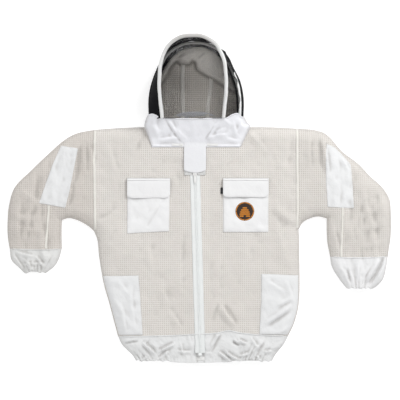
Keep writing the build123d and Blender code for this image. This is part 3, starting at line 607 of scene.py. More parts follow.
# painted light: the hood's tapes are a near-white copy of the cream binding, lighter to make up for the shade
# inside the hood
HOOD_TAPE = weave("cream_tape", (0.98, 0.955, 0.90), lines=1800.0, wrinkle_depth=0.001)
TAPE = weave("zip_tape", (0.80, 0.82, 0.815), lines=2600.0, turn=0.0, wrinkle_depth=0.0006)
THREAD = weave("white_thread", (0.82, 0.82, 0.82), lines=4000.0, wrinkle_depth=0.0002)
ELASTIC = weave("elastic", (0.78, 0.78, 0.77), lines=1700.0, turn=0.0)
LABEL = weave("black_label", (0.02, 0.02, 0.022), lines=2200.0, shade=0.8)
HOOK = weave("hook_and_loop", (0.80, 0.80, 0.79), rough=0.95, sheen=0.4, lines=3200.0, depth=0.0004)
NET = plastic("black_netting", (0.006, 0.006, 0.0075), 0.8)
NET.node_tree.nodes["Principled BSDF"].inputs["Specular IOR Level"].default_value = 0.1
TOOTH = plastic("zip_plastic", (0.86, 0.88, 0.875), 0.35, coat=0.2)
ENAMEL = plastic("zip_enamel", (0.80, 0.80, 0.79), 0.3, coat=0.6)
ROD = plastic("hoop_rod", (0.75, 0.75, 0.72), 0.3, coat=0.1)
AMBER = weave("badge_embroidery_amber", (0.72, 0.25, 0.012), rough=0.55, sheen=0.1, lines=5200.0, turn=0.3,
              depth=0.0003, wrinkle_depth=0.0004, shade=0.8)
BROWN = weave("badge_embroidery_brown", (0.035, 0.016, 0.008), rough=0.6, sheen=0.1, lines=5200.0, turn=1.2,
              depth=0.0003, wrinkle_depth=0.0004, shade=0.7)

# Body panels ---------------------------------------------------------------------------------------
stitch_lines = {"jacket": [], "left_arm": [], "right_arm": [], "hood": [], "closure_flap": [],
                "left_pocket_flap": [], "right_pocket_flap": []}
CLOTH, TWILL_CLOTH = 2.2, 1.2  # thicknesses
FINE, COARSE = 5.5, 7.0  # spacing of a mesh layer's points, outside and underneath


def fold_depth(verts, faces):
    """How deep each vertex lies in a fold, from 0 to 1."""
    pairs = np.array([(a, b) for f in faces for a, b in zip(f, f[1:] + f[:1])])
    count = np.maximum(np.bincount(pairs[:, 0], minlength=len(verts)), 1)
    around = verts[:, 2]
    for _ in range(3):
        around = np.bincount(pairs[:, 0], around[pairs[:, 1]], len(verts)) / count
    return np.clip((around - verts[:, 2] - 0.25) / 1.15, 0, 1)


def mark(piece, **values):
    """Numbers for the material, one for each vertex of the sheet's outer face."""
    for name, value in values.items():
        both = np.tile(value, 2).astype(np.float32)
        piece.data.attributes.new(name, "FLOAT", "POINT").data.foreach_set("value", both)


def sheet_piece(name, layer, thickness, material, slot, sides=folded):
    """A layer given thickness, with where its sides and folds are noted for the material's painted shade."""
    piece = make(name, *thicken(*layer, thickness)[:2], material, np.tile(layer[2], (2, 1)), slot)
    gap = distance(np.asarray(layer[2]), *sides)
    mark(piece, edge=1 - np.clip(gap / 9, 0, 1),
         fold=fold_depth(layer[0], layer[1]) * np.clip(gap / 14, 0, 1))
    return piece


sheets, trims = [], {}
ON = {"jacket": "front_panel_cloth", "left_arm": "left_sleeve_cloth", "right_arm": "right_sleeve_cloth",
      "hood": "collar_cloth", "closure_flap": "main_zip_left_tape_cloth",
      "left_pocket_flap": "left_chest_pocket_cloth", "right_pocket_flap": "right_chest_pocket_cloth"}


def measured(outline):
    """Width, length and area of an outline, in metres."""
    x, y = np.asarray(outline, float).T * MM
    area = 0.5 * abs(np.sum(x * np.roll(y, -1) - np.roll(x, -1) * y))
    return x.max() - x.min(), y.max() - y.min(), area


def cut(piece, outline, held, on, layers=1, solid=1.0):
    """Notes a sheet: it was cut to its outline, once or, for a tube, twice."""
    width, length, area = measured(outline)
    sheets.append((piece, (width * layers, length), held, on, area * layers * solid))


def hem_between(low_x, high_x):
    """The part of the hem's seam between two places across the jacket."""
    return hem_seam[(hem_seam[:, 0] > low_x) & (hem_seam[:, 0] < high_x)]


def beside_zip(y, gap):
    """A line at an even gap beside the main zip."""
    return np.column_stack([zip_x(y) + gap, y])


NECK_Y = 176  # the fronts' upper edge, below the collar
zip_top_x = float(zip_x(ZIP_TOP))
zip_rows = np.arange(-409.0, ZIP_TOP, 5.0)
left_edge = seams["left_side"], seams["left_armhole"], seams["left_shoulder"][::-1]
right_edge = seams["right_shoulder"][::-1], seams["right_armhole"][::-1], seams["right_side"]
left_front = join(
    beside_zip(zip_rows, 12)[::-1], hem_between(16, 290), *left_edge,
    smooth([(148, 236), (135, 205), (122, NECK_Y)]), resample([(122, NECK_Y), (zip_top_x + 12, NECK_Y)], 5))
right_front = join(
    beside_zip(zip_rows, -12), resample([(zip_top_x - 12, NECK_Y), (-143, NECK_Y)], 5),
    smooth([(-143, NECK_Y), (-153, 205), (-171, 236)]), *right_edge, hem_between(-300, -6))
back_hem = resample([(-256, -420), (279, -420)], 5)
back_outline = join(
    back_hem, *left_edge, smooth([(148, 236), (131, 189)]), resample([(131, 189), (-154, 189)], 5),
    smooth([(-154, 189), (-171, 236)]), *right_edge)

for name, outline, layer, on in (
        ("left_front_panel", left_front, skin(left_front, FINE, top), "back_panel_cloth"),
        ("right_front_panel", right_front, skin(right_front, FINE, top), "back_panel_cloth"),
        ("back_panel", back_outline, skin(back_outline, COARSE, under, flip=True), "floor")):
    panel = sheet_piece(f"{name}_cloth", layer, CLOTH, MESH, "ventilated_mesh")
    put(panel, "jacket", name)
    cut(panel, outline, "laid", [on])

# Sleeves and cuffs ---------------------------------------------------------------------------------
for side, arm, sign in (("left", LEFT_ARMHOLE_X, 1), ("right", RIGHT_ARMHOLE_X, -1)):
    outline = join(seams[f"{side}_armhole"][::-1], seams[f"{side}_under"], seams[f"{side}_inner"],
                   seams[f"{side}_cuff_seam"], seams[f"{side}_over"][::-1])
    tube = merge(skin(outline, FINE, top), skin(outline, COARSE, under, flip=True))
    sleeve = sheet_piece(f"{side}_sleeve_cloth", tube, CLOTH, MESH_ARM[side], "ventilated_mesh")
    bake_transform(sleeve)
    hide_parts(f"{side}_sleeve")
    cut(sleeve, outline, "laid", ["floor"], layers=2)
    outline = join(seams[f"{side}_cuff_seam"], seams[f"{side}_cuff_outer"], seams[f"{side}_cuff_end"][::-1],
                   seams[f"{side}_cuff_inner"])
    tube = merge(skin(outline, 3.2, top), skin(outline, 4.5, under, flip=True))
    cuff = sheet_piece(f"{side}_cuff_cloth", tube, TWILL_CLOTH, CUFF[side], "white_twill")
    put(cuff, f"{side}_arm", f"{side}_cuff")
    cut(cuff, outline, "gathered", ["floor"], layers=2)

# Hem band ------------------------------------------------------------------------------------------
def hem_top(points):
    """The hem, lower below the zip so that the slider clears it."""
    points = np.asarray(points, float)
    return top(points) - 3.4 * (1 - ease((np.abs(points[:, 0] - zip_x(points[:, 1])) - 11) / 6))


hem_edge = seams["left_hem_side"], seams["hem_end"], seams["right_hem_side"][::-1]
front_hem = join(hem_seam, *hem_edge)
tube = merge(skin(front_hem, 3.6, hem_top), skin(join(back_hem, *hem_edge), 5.0, under, flip=True))
hem = sheet_piece("hem_band_cloth", tube, TWILL_CLOTH, HEM, "white_twill")
put(hem, "jacket", "hem_band")
cut(hem, front_hem, "gathered", ["floor"], layers=2)

# Things sewn on ------------------------------------------------------------------------------------
def overlay(name, outline, lift, thickness, material, slot, body, nodes=(), spacing=4.0, rings=(1.5,),
            base=top, size=None):
    """Cloth sewn over the jacket: lift is the height of its outer face above the cloth below."""
    outline = join(outline)
    flat, faces = fill(outline, spacing, rings)
    verts = np.column_stack([flat, base(flat) + lift(flat)])
    depth = fold_depth(verts, faces)
    verts, faces, uv = thicken(verts, faces, flat, thickness)
    piece = make(name, verts, faces, material, uv, slot)
    # the fold depth drives painted shade down in the cloth's folds
    mark(piece, fold=depth * np.clip(distance(flat, closed(outline)) / 8, 0.3, 1))
    on = ON[body]
    if body == "jacket":
        on = ("left_" if outline[:, 0].mean() > zip_x(outline[:, 1].mean()) else "right_") + on
    if min(size or measured(outline)[:2]) < 0.01:
        trims.setdefault(on, []).append(piece)
    elif size:
        sheets.append((piece, size, "laid", [on], None))
    else:
        cut(piece, outline, "laid", [on])
    put(piece, body, *nodes)


def even(value):
    """A level surface."""
    return lambda points: np.full(len(points), float(value))


GAP, STITCH, THREAD_WIDTH = 1.1, 2.9, 0.55


def sew(body, line, height, base=top):
    """A row of thread dashes along a line, at a height above the cloth."""
    line = resample(line, STITCH + GAP)
    z = base(line) + (height(line) if callable(height) else height)
    for a, b, za, zb in zip(line[:-1], line[1:], z[:-1], z[1:]):
        run = (b - a) / (np.linalg.norm(b - a) + TINY)
        side = np.array([-run[1], run[0]]) * THREAD_WIDTH / 2
        inset = (b - a) * GAP / (STITCH + GAP) * 0.5
        start, end = a + inset, b - inset
        middle, level = (start + end) / 2, (za + zb) / 2
        stitch_lines[body].append([
            (*start, za - 0.25), (*end, zb - 0.25), (*(middle + side), level),
            (*middle, level + THREAD_WIDTH * 0.55), (*(middle - side), level),
            (*middle, level - THREAD_WIDTH * 0.5)])


def pocket(node, outline, puff, gap_at_mouth, material):
    """A patch pocket that stands a little open at its mouth, the line from its last point to its first."""
    seam = np.vstack([outline, outline])  # each row of stitches goes round twice
    mouth_line = np.array([outline[-1], outline[0]], float)

    def lift(points):
        sewn = bulge(distance(points, seam) / 16)
        at_mouth = ease(1 - distance(points, mouth_line) / 60)
        soft = waves(points, 31, 14, 26, 70, 0.45)
        return 1.6 + sewn * (puff + gap_at_mouth * at_mouth + soft) + creases(points, pocket_folds) * sewn

    overlay(f"{node}_cloth", ring(outline, 4), lift, TWILL_CLOTH, material, "white_twill", "jacket", [node])
    for line, inset in ((seam, 0.035), (seam, 0.105), (mouth_line, 0.09)):
        sew("jacket", line + (outline.mean(0) - line) * inset, lambda p: lift(p) + 0.1)
    return lift


for side, outline in (
        ("right",
         [(-190, -229), (-184, -308), (-177, -415), (-253, -416), (-265, -371), (-280, -314), (-296, -258),
                   (-302, -232)]),
        ("left", [(311, -229), (311, -300), (306, -340), (293, -385), (277, -415), (188, -414), (194, -308),
                  (194, -224)])):
    pocket(f"{side}_hip_pocket", np.array(outline, float), 2.6, 1.6, TWILL_WORN)

chest = {"right": (-225, -92, -2, 1), "left": (75, 216, 0, 0)}  # the pocket's sides, its dip and its lean
FLAP_Z, FLAP_SEAM_Y = 41.2, 67.5
for side, (low_x, high_x, dip, lean) in chest.items():
    pocket_outline = np.array([(high_x, 60), (high_x - 3 * lean, -94 - dip * 1.5),
                               (low_x - lean, -94 + dip * 2), (low_x, 60)], float)
    lift = pocket(f"{side}_chest_pocket", pocket_outline, 2.4, 1.2, TWILL)
    middle = (low_x + high_x) / 2
    # the flap hangs from its seam and rests on the pocket
    end_y = 16 + dip
    left_x, right_x = low_x - 1, high_x + 1
    flap_outline = join(
        smooth([(left_x, FLAP_SEAM_Y), (middle, FLAP_SEAM_Y), (right_x, FLAP_SEAM_Y + 1.5 * lean)], 4),
        smooth([(right_x, FLAP_SEAM_Y), (right_x, end_y + 9)], 4),
        smooth([(right_x, end_y + 9), (high_x - 5, end_y + 2), (middle + 20, end_y),
                (middle - 25, end_y - 1.5 * lean), (low_x + 5, end_y + 2), (left_x, end_y + 8)], 4),
        smooth([(left_x, end_y + 8), (left_x, FLAP_SEAM_Y)], 4))

    def flap_height(points):
        fall = ease((FLAP_SEAM_Y - points[:, 1]) / 52)
        border = 1 - bulge(distance(points, closed(flap_outline)) / 7)
        return FLAP_Z + 0.8 - 2.0 * fall - 1.0 * border + waves(points, 41, 12, 26, 60, 0.28)

    def stand(points):
        """From the cloth up to the flap's seam."""
        return 1.3 + (FLAP_Z - 0.2 - top(points)) * bulge((76 - points[:, 1]) / 9)

    overlay(f"{side}_chest_flap_cloth", flap_outline, flap_height, 1.3, TWILL, "white_twill",
            f"{side}_pocket_flap", [f"{side}_chest_flap"], base=even(0))
    border = np.array([(low_x + 3, 66), (low_x + 3, end_y + 9), (low_x + 9, end_y + 4),
                       (high_x - 9, end_y + 4), (high_x - 3, end_y + 9), (high_x - 3, 66)], float)
    sew(f"{side}_pocket_flap", border, lambda p: flap_height(p) + 0.1, even(0))
    overlay(f"{side}_flap_seam", box(left_x, 76, right_x, 68.2, 3), stand, 1.2, TWILL, "white_twill",
            "jacket", spacing=2.6, rings=())
    sew("jacket", [(low_x + 1, 74), (high_x - 1, 74)], lambda p: stand(p) + 0.1)
    for kind, height, body in (("loop", lambda p: top(p) + lift(p) + 0.7, "jacket"),
                               ("hook", lambda p: flap_height(p) - 1.4, f"{side}_pocket_flap")):
        pad = [(middle + 30, 21), (middle + 30, 40), (middle - 30, 40), (middle - 30, 21)]
        overlay(f"{side}_pocket_{kind}_pad", ring(pad, 4), height, 0.6, HOOK, "hook_and_loop", body,
                [f"{side}_pocket_{kind}_strip"], base=even(0))
chest_lift = lift  # the left pocket's, below the badge

# Badge: a plain round patch with a skep of stacked bands
badge_x, badge_y, badge_r = 142.4, -28.5, 29.5
DISC_POINTS, ARC_POINTS = 56, 7
badge_parts = []


def disc(radius):
    turn = np.linspace(0, 2 * pi, DISC_POINTS, endpoint=False)
    return np.column_stack([badge_x + radius * np.cos(turn), badge_y + radius * np.sin(turn)])


def satin(outline, height, rise, material_index):
    """A raised field of stitches with rounded edges."""
    flat, faces = fill(np.array(outline, float), 2.2, (0.7,))
    crown_at = bulge(distance(flat, closed(outline)) / 1.8)
    z = top(flat) + chest_lift(flat) + height + rise * crown_at
    verts, faces, uv = thicken(np.column_stack([flat, z]), faces, flat, rise + 0.4)
    badge_parts.append((verts, faces, uv, material_index))


satin(disc(badge_r), 0.1, 0.5, 1)
outer, inner = disc(badge_r - 0.6), disc(badge_r - 4.2)
for start in range(0, DISC_POINTS, ARC_POINTS):
    pick = [(start + k) % DISC_POINTS for k in range(ARC_POINTS + 1)]
    satin(np.vstack([outer[pick], inner[pick][::-1]]), 0.4, 0.7, 0)
for level, half in ((-15, 16.5), (-8.6, 17.0), (-2.2, 15.4), (4.2, 12.2), (10.6, 7.4)):
    bar = [(-half, -2), (2 - half, -2.7), (half - 2, -2.7), (half, -2), (half, 1.4), (half - 2.5, 2.6),
           (2.5 - half, 2.6), (-half, 1.4)]
    satin(ring(np.add(bar, (badge_x, badge_y + level)), 2.2), 0.4, 0.8, 0)
door = badge_x + 4.2 * np.cos(np.linspace(0, pi, 9)), badge_y - 17.5 + 6.4 * np.sin(np.linspace(0, pi, 9))
satin(np.column_stack(door), 0.9, 0.6, 1)
verts, faces, uv, kinds = [], [], [], []
for v, f, u, kind in badge_parts:
    start = sum(len(x) for x in verts)
    verts.append(v)
    uv.append(u)
    faces += [tuple(i + start for i in face) for face in f]
    kinds += [kind] * len(f)
badge = make("pocket_badge_embroidery", np.vstack(verts), faces, [AMBER, BROWN], np.vstack(uv),
             "badge_embroidery")
badge.data.polygons.foreach_set("material_index", kinds)
put(badge, "jacket", "pocket_badge")
trims["left_chest_pocket_cloth"] = [badge]

overlay("pocket_label_tab_cloth", ring([(75.5, 46), (66.5, 46), (66.5, 26), (75.5, 26)], 2),
        lambda p: 2.4 + 0.5 * np.sin((p[:, 0] - 66) / 3), 1.4, LABEL, "black_label", "jacket",
        ["pocket_label_tab"], spacing=2, rings=())

# Patches and bindings
patches = {
    "left": [(399, 183), (427, 171), (452, 144), (475, 117), (480, 50), (484, -18), (442, -17), (402, -15),
             (397, 60), (396, 120)],
    "right": [(-434, 177), (-408, 173), (-379, 168), (-394, 96), (-407, 30), (-420, -18), (-462, -10),
              (-502, -3), (-480, 60), (-458, 120)],
}
for side, points in patches.items():
    corners = np.array(points, float)
    border = resample(closed(corners), 4)

    def patch_lift(p):
        return 1.3 + bulge(distance(p, border) / 12) * (0.9 + waves(p, 51, 14, 22, 60, 0.5))

    overlay(f"{side}_sleeve_patch_cloth", border[:-1], patch_lift, 1.1, TWILL_WORN, "white_twill",
            f"{side}_arm", [f"{side}_sleeve_patch"])
    for inset in (0.045, 0.10):
        inner = corners + (corners.mean(0) - corners) * inset
        sew(f"{side}_arm", closed(inner), lambda p: patch_lift(p) + 0.1)


def ribbon(line, half):
    """The outline of a strip along a line."""
    line = np.array(line, float)
    run = np.gradient(line, axis=0)
    side = np.column_stack([-run[:, 1], run[:, 0]])
    side /= np.linalg.norm(side, axis=1)[:, None] + TINY
    return np.vstack([line + side * half, (line - side * half)[::-1]])


STRIP_STEP = 3.0


def strip(name, line, half, lift, thickness, material, slot, body, nodes=(), base=top):
    """A narrow strip of cloth sewn on along a line."""
    line = resample(line, STRIP_STEP)
    overlay(name, ribbon(line, half), lambda p: lift + 0.5 * bulge(1 - distance(p, line) / half), thickness,
            material,
            slot, body, nodes, STRIP_STEP, (), base, size=(2 * half * MM, len(line) * STRIP_STEP * MM))


for name, body, half, points in (
        ("left_armhole", "jacket", 3.6, [(308, -82), (308, 60), (306, 150), (307, 229)]),
        ("right_armhole", "jacket", 3.6, [(-326, -86), (-328, 40), (-329, 140), (-327, 225)]),
        ("left_sleeve", "left_arm", 3.2, [(444, -171), (447, -90), (449, -16)]),
        ("right_sleeve", "right_arm", 3.2, [(-480, -146), (-475, -60), (-471, -10)])):
    line = smooth(points)
    strip(f"{name}_binding_tape", line, half, 1.1, 1.1, BINDING, "cream_binding", body, [f"{name}_binding"])
    line = resample(line, STRIP_STEP)
    edges = ribbon(line, half - 1.3)
    for edge in (edges[:len(line)], edges[len(line):]):
        sew(body, edge, 1.1 + 0.3)
# piping where the mesh meets the twill
strip("hem_piping", hem_seam[3:-3], 1.7, 1.5, 1.4, HEM, "white_twill", "jacket")
for side in ("left", "right"):
    strip(f"{side}_cuff_piping", seams[f"{side}_cuff_seam"][2:-2], 1.5, 1.3, 1.3, CUFF[side], "white_twill",
          f"{side}_arm")

# Main zip ------------------------------------------------------------------------------------------
TAPE_TOP, TAPE_MIDDLE, TAPE_HALF = 34.5, 8.35, 7.65
PAD_Z = 35.1
for side, sign in (("left", 1), ("right", -1)):
    rows = np.arange(ZIP_BOTTOM, ZIP_TOP + 1, 4.0)
    overlay(f"main_zip_{side}_tape_cloth", ribbon(beside_zip(rows, sign * TAPE_MIDDLE), TAPE_HALF),
            lambda p: TAPE_TOP + 0.22 * np.sin(p[:, 1] / 13) * np.abs(p[:, 0] - zip_x(p[:, 1])) / 16, 0.7,
            TAPE, "zip_tape", "jacket", [f"main_zip_{side}_tape"], spacing=3.2, rings=(), base=even(0),
            size=(0.0153, (ZIP_TOP - ZIP_BOTTOM) * MM))
    for offset in (6.4, 13.8):
        sew("jacket", beside_zip(rows, sign * offset), TAPE_TOP + 0.15, even(0))


COIL_PITCH, COIL_Z = 2.1, 34.45


def coil(name, start, end, side, body, node):
    """Half a nylon coil: loops that reach from the tape's edge to the middle of the zip."""
    start, end = np.array(start, float), np.array(end, float)
    run = (end - start) / np.linalg.norm(end - start)
    across = np.array([-run[1], run[0]]) * side
    verts, faces, uv = [], [], []
    count = int(np.linalg.norm(end - start) / COIL_PITCH)
    profile = [(-1.5, -0.1), (-0.5, 0.6), (1.6, 0.66), (3.2, 0.3), (4.4, -0.1)]  # across, up
    for k in range(count):
        centre = start + run * (k + (0.5 if side > 0 else 0.0)) * COIL_PITCH
        first = len(verts)
        for reach, up in profile:
            for along, rise in ((-0.42, 0.0), (0.0, 0.42), (0.42, 0.0), (0.0, -0.42)):
                at = centre + across * reach + run * along * COIL_PITCH * 0.75
                verts.append((at[0], at[1], COIL_Z + up + rise))
                uv.append((at[0], at[1]))
        for part in range(len(profile) - 1):
            a = first + part * 4
            faces += [(a + i, a + (i + 1) % 4, a + 4 + (i + 1) % 4, a + 4 + i)[::side] for i in range(4)]
        faces += [(first + 3, first + 2, first + 1, first)[::side]]
        last = first + 4 * (len(profile) - 1)
        faces += [(last, last + 1, last + 2, last + 3)[::side]]
    put(make(name, verts, faces, TOOTH, uv, "zip_plastic"), body, node)


def flat_patches(name, outlines, spacing, height, thickness, material, slot, body, node):
    """One piece of a few flat patches of cloth."""
    patches = (thicken(*skin(outline, spacing, height, ()), thickness) for outline in outlines)
    verts, faces, uv = merge(*patches)
    piece = make(name, verts, faces, material, uv, slot)
    put(piece, body, node)
    return piece


for side, sign in (("left", 1), ("right", -1)):
    coil(f"main_zip_{side}_coil", (float(zip_x(ZIP_BOTTOM)), ZIP_BOTTOM), (zip_top_x, ZIP_TOP), -sign,
         "jacket", f"main_zip_{side}_teeth")
pads = [ribbon(resample(beside_zip(np.array([84.0, 132.0]), gap), 4), 13) for gap in (20, -20)]
piece = flat_patches("flap_loop_pads_cloth", pads, 4, even(PAD_Z), 0.9, HOOK, "hook_and_loop", "jacket",
                     "flap_loop_pads")
sheets.append((piece, (2 * 0.026, 0.048), "laid", ["left_front_panel_cloth", "right_front_panel_cloth"],
               None))

# Neck ----------------------------------------------------------------------------------------------
NECK_LEFT, NECK_RIGHT = -150.0, 127.0
neck_runs = ((NECK_LEFT, zip_top_x - 11), (zip_top_x + 11, NECK_RIGHT))
for kind, low_y, high_y, z, material, slot, node in (
        ("jacket_tape", 172.4, 178.5, 34.6, TAPE, "zip_tape", "neck_zip_jacket_tape"),
        ("band", 172.0, 175.2, PAD_Z, COLLAR, "white_twill", "neck_band")):
    bands = [box(low_x, low_y, high_x, high_y, 3) for low_x, high_x in neck_runs]
    piece = flat_patches(f"neck_{kind}_cloth", bands, 3, lambda p: z + 0.2 * np.sin(p[:, 0] / 9), 0.6,
                         material, slot, "jacket", node)
    trims.setdefault("back_panel_cloth", []).append(piece)
for side, body in ((-1, "jacket"), (1, "hood")):
    coil(f"neck_zip_{body}_coil", (NECK_LEFT, 180), (NECK_RIGHT, 180), side, body, f"neck_zip_{body}_teeth")

# Collar --------------------------------------------------------------------------------------------
collar_left = smooth([(-151, 181), (-158, 200), (-167, 224), (-172, 238), (-168, 256), (-161, 272)], 3.5)
collar_right = smooth([(133, 181), (144, 202), (155, 224), (160, 238), (148, 252), (140, 266)], 3.5)
collar_top = smooth([(-161, 272), (-150, 275), (-137, 272), (-124, 264), (-112, 262), (-40, 260), (30, 261),
                     (77, 263), (86, 263), (99, 271), (121, 276), (129, 268), (140, 266)], 3.5)
collar_bottom = resample([(-151, 181), (-100, 182), (-13, 184), (60, 182), (133, 181)], 3.5)
collar_back_top = smooth([(-161, 272), (-120, 262), (-86, 270), (-58, 281), (-14, 285), (28, 281), (54, 271),
                          (96, 260), (140, 266)], 4)
collar_sides = [collar_left, collar_right]
collar_folds = [
    (-104, 252, -52, 188, 4.5, -3.0), (-96, 258, -42, 192, 9, 2.6), (46, 240, 20, 192, 4.5, -3.0),
    (54, 244, 30, 194, 9, 2.6), (-126, 193, -60, 198, 8, 3.6), (48, 218, 84, 228, 8, 3.0),
    (26, 196, 90, 214, 8, 3.4), (102, 250, 118, 206, 8, 3.6), (130, 262, 134, 232, 7, 3.6),
    (-126, 262, -118, 240, 7, -1.0), (-150, 240, -128, 206, 11, 3.0), (70, 262, 100, 236, 9, 2.6),
    (-90, 204, -76, 234, 8, 2.0), (-146, 268, -124, 266, 9, 3.2), (84, 196, 128, 192, 8, 2.6),
    (-86, 262, -66, 214, 9, -1.8), (60, 258, 40, 226, 8, -1.6), (120, 220, 140, 244, 8, 2.4),
    (-140, 262, -132, 222, 8, 2.4),
]


def collar_side(points):
    """The sides lie on the fronts, then rise to the hoop's feet."""
    return 35.9 + 21 * ease((points[:, 1] - 238) / 30)


def collar_over(points):
    x, y = points[:, 0], points[:, 1]
    wide = np.abs(x + 12) / 150
    rise = 36.9 + np.clip(y - 184, 0, 90) * 0.605 * (1 - 0.28 * wide**2.4)
    rise = rise + creases(points, collar_folds) * ease((y - 182) / 8)
    rise = rise + waves(points, 61, 18, 22, 66, 0.6) * ease((y - 186) / 20)
    side = collar_side(points)
    return side + (rise - side) * bulge(distance(points, *collar_sides) / 30)


def collar_under(points):
    side = collar_side(points)
    low = 1.4 + 0.4 * np.abs(waves(points, 63, 10, 40, 90, 1.0)) + 4 * ease((points[:, 1] - 262) / 20)
    return side + (low - side) * bulge(distance(points, *collar_sides) / 26)


collar_skirt = resample([(-149, 174.5), (-100, 174), (-13, 174), (60, 174.5), (131, 174.5)], 3.5)
front = join(collar_skirt, collar_right, collar_top[::-1], collar_left[::-1])
rear = join(collar_bottom, collar_right, collar_back_top[::-1], collar_left[::-1])
collar = merge(skin(front, 3.6, collar_over, (1.5, 4.5)),
               skin(rear, 5.0, collar_under, (1.5, 4.5), flip=True))
piece = sheet_piece("collar_cloth", collar, 1.3, COLLAR, "collar_cotton", collar_sides)
cut(piece, front, "folded", ["left_front_panel_cloth", "right_front_panel_cloth"], layers=2)
put(piece, "hood", "collar", "neck_zip_hood_tape")
collar_edge = smooth([(-161, 270), (-150, 273), (-137, 270), (-124, 262), (-112, 260), (-40, 258), (30, 259),
                      (77, 261), (86, 261), (99, 269), (121, 274), (129, 266), (139, 264)], 3.5)
strip("collar_top_binding", collar_edge, 1.9, 1.2, 1.3, COLLAR, "collar_cotton", "hood", base=collar_over)
for points, height in (
        ([(-122, 258), (-112, 255), (-40, 253), (30, 254), (80, 256)], 0.15),
        ([(-100, 247), (-54, 190)], 0.1),
        ([(43, 240), (21, 194)], 0.1), ([(-148, 186), (-60, 187.5)], 0.1), ([(30, 187.5), (130, 186)], 0.1)):
    sew("hood", smooth(points), height, collar_over)

# Neck flap -----------------------------------------------------------------------------------------
FLAP_LEFT, FLAP_RIGHT, FLAP_LOW, FLAP_TOP = -48, 21, 98, 191
flap_ring = join(*(smooth(line, 4) for line in (
    [(FLAP_LEFT, FLAP_TOP), (FLAP_RIGHT, FLAP_TOP)],
    [(FLAP_RIGHT, FLAP_TOP), (FLAP_RIGHT + 0.5, 140), (FLAP_RIGHT, FLAP_LOW + 4)],
    [(FLAP_RIGHT, FLAP_LOW + 4), (FLAP_RIGHT - 4, FLAP_LOW), (FLAP_LEFT + 4, FLAP_LOW),
     (FLAP_LEFT, FLAP_LOW + 4)],
    [(FLAP_LEFT, FLAP_LOW + 4), (FLAP_LEFT - 0.5, 150), (FLAP_LEFT, FLAP_TOP)])))
flap_line = closed(flap_ring)


def neck_flap_height(points):
    return (38.3 - 0.6 * (1 - bulge(distance(points, flap_line) / 5)) + waves(points, 71, 10, 30, 80, 0.2)
            + 0.9 * ease((points[:, 1] - 180) / 11))


overlay("neck_flap_cloth", flap_ring, neck_flap_height, 1.2, FLAP, "white_twill", "closure_flap",
        ["neck_flap"], base=even(0))
for inset in (2.6, 8.0):
    low, left, right = FLAP_LOW + inset, FLAP_LEFT + inset, FLAP_RIGHT - inset
    sew("closure_flap", [(left, FLAP_TOP - 1), (left, low), (right, low), (right, FLAP_TOP - 1)],
        lambda p: neck_flap_height(p) + 0.1, even(0))
hooks = [box(low_x, 101, high_x, 130, 4) for low_x, high_x in ((-45, -22), (-6, 18))]
piece = flat_patches("flap_hook_pads_cloth", hooks, 4, lambda p: neck_flap_height(p) - 1.2, 0.6, HOOK,
                     "hook_and_loop", "closure_flap", "flap_hook_pads")
sheets.append((piece, (0.023 + 0.024, 0.029), "laid", ["neck_flap_cloth"], None))

# Hood ----------------------------------------------------------------------------------------------
HINGE_Y = 258.0
FRONT_X, FRONT_Z, FRONT_TILT = -20.0, 81, 32
REAR_X, REAR_Z, REAR_TILT = -12, 55, 14
REAR_HALF, REAR_REACH = 138, 240


def rounded(points, radii):
    """Straight runs joined by arcs of the given radii."""
    points = [np.array(p, float) for p in points]
    line = [points[0]]
    for before, corner, after, radius in zip(points, points[1:], points[2:], radii):
        a, b = before - corner, after - corner
        a, b = a / np.linalg.norm(a), b / np.linalg.norm(b)
        half = np.arccos(np.clip(a @ b, -1, 1)) / 2
        reach = radius / np.tan(half)
        middle = (a + b) / np.linalg.norm(a + b)
        centre = corner + middle * radius / np.sin(half)
        start, end = corner + a * reach - centre, corner + b * reach - centre
        total = np.arccos(np.clip(start @ end / radius**2, -1, 1))
        for t in np.linspace(0, 1, 24):
            line.append(centre + (start * np.sin((1 - t) * total) + end * np.sin(t * total)) / np.sin(total))
    line.append(points[-1])
    return resample(np.array(line), 3.0)


def raise_plane(line, x, z, tilt):
    """A line in a hoop's own plane, in the row frame."""
    tilt = radians(tilt)
    return np.column_stack([x + line[:, 0], HINGE_Y + line[:, 1] * cos(tilt), z + line[:, 1] * sin(tilt)])


def front_arch(inwards, start):
    """The front hoop's line, or one a little inside it, in the hoop's own plane."""
    right = [(95 - inwards, start)] + [(x - inwards, y - inwards * y / 287)
                                       for x, y in ((104, 115), (97, 205), (72, 260), (30, 287))]
    return rounded([(-x, y) for x, y in right] + right[::-1],
                   [r - inwards for r in (500, 150, 76, 72, 72, 76, 150, 500)])


rear_arch = rounded([(-REAR_HALF, 6), (-REAR_HALF, 0.41 * REAR_REACH), (-0.545 * REAR_HALF, REAR_REACH),
                     (0.545 * REAR_HALF, REAR_REACH), (REAR_HALF, 0.41 * REAR_REACH), (REAR_HALF, 6)],
                    [k * REAR_HALF for k in (1.7, 0.75, 0.75, 1.7)])
front_hoop = raise_plane(front_arch(0, 6), FRONT_X, FRONT_Z, FRONT_TILT)
rear_hoop = raise_plane(rear_arch, REAR_X, REAR_Z, REAR_TILT)
CASING_SIDES, CASING_PUCKER = 14, 0.22


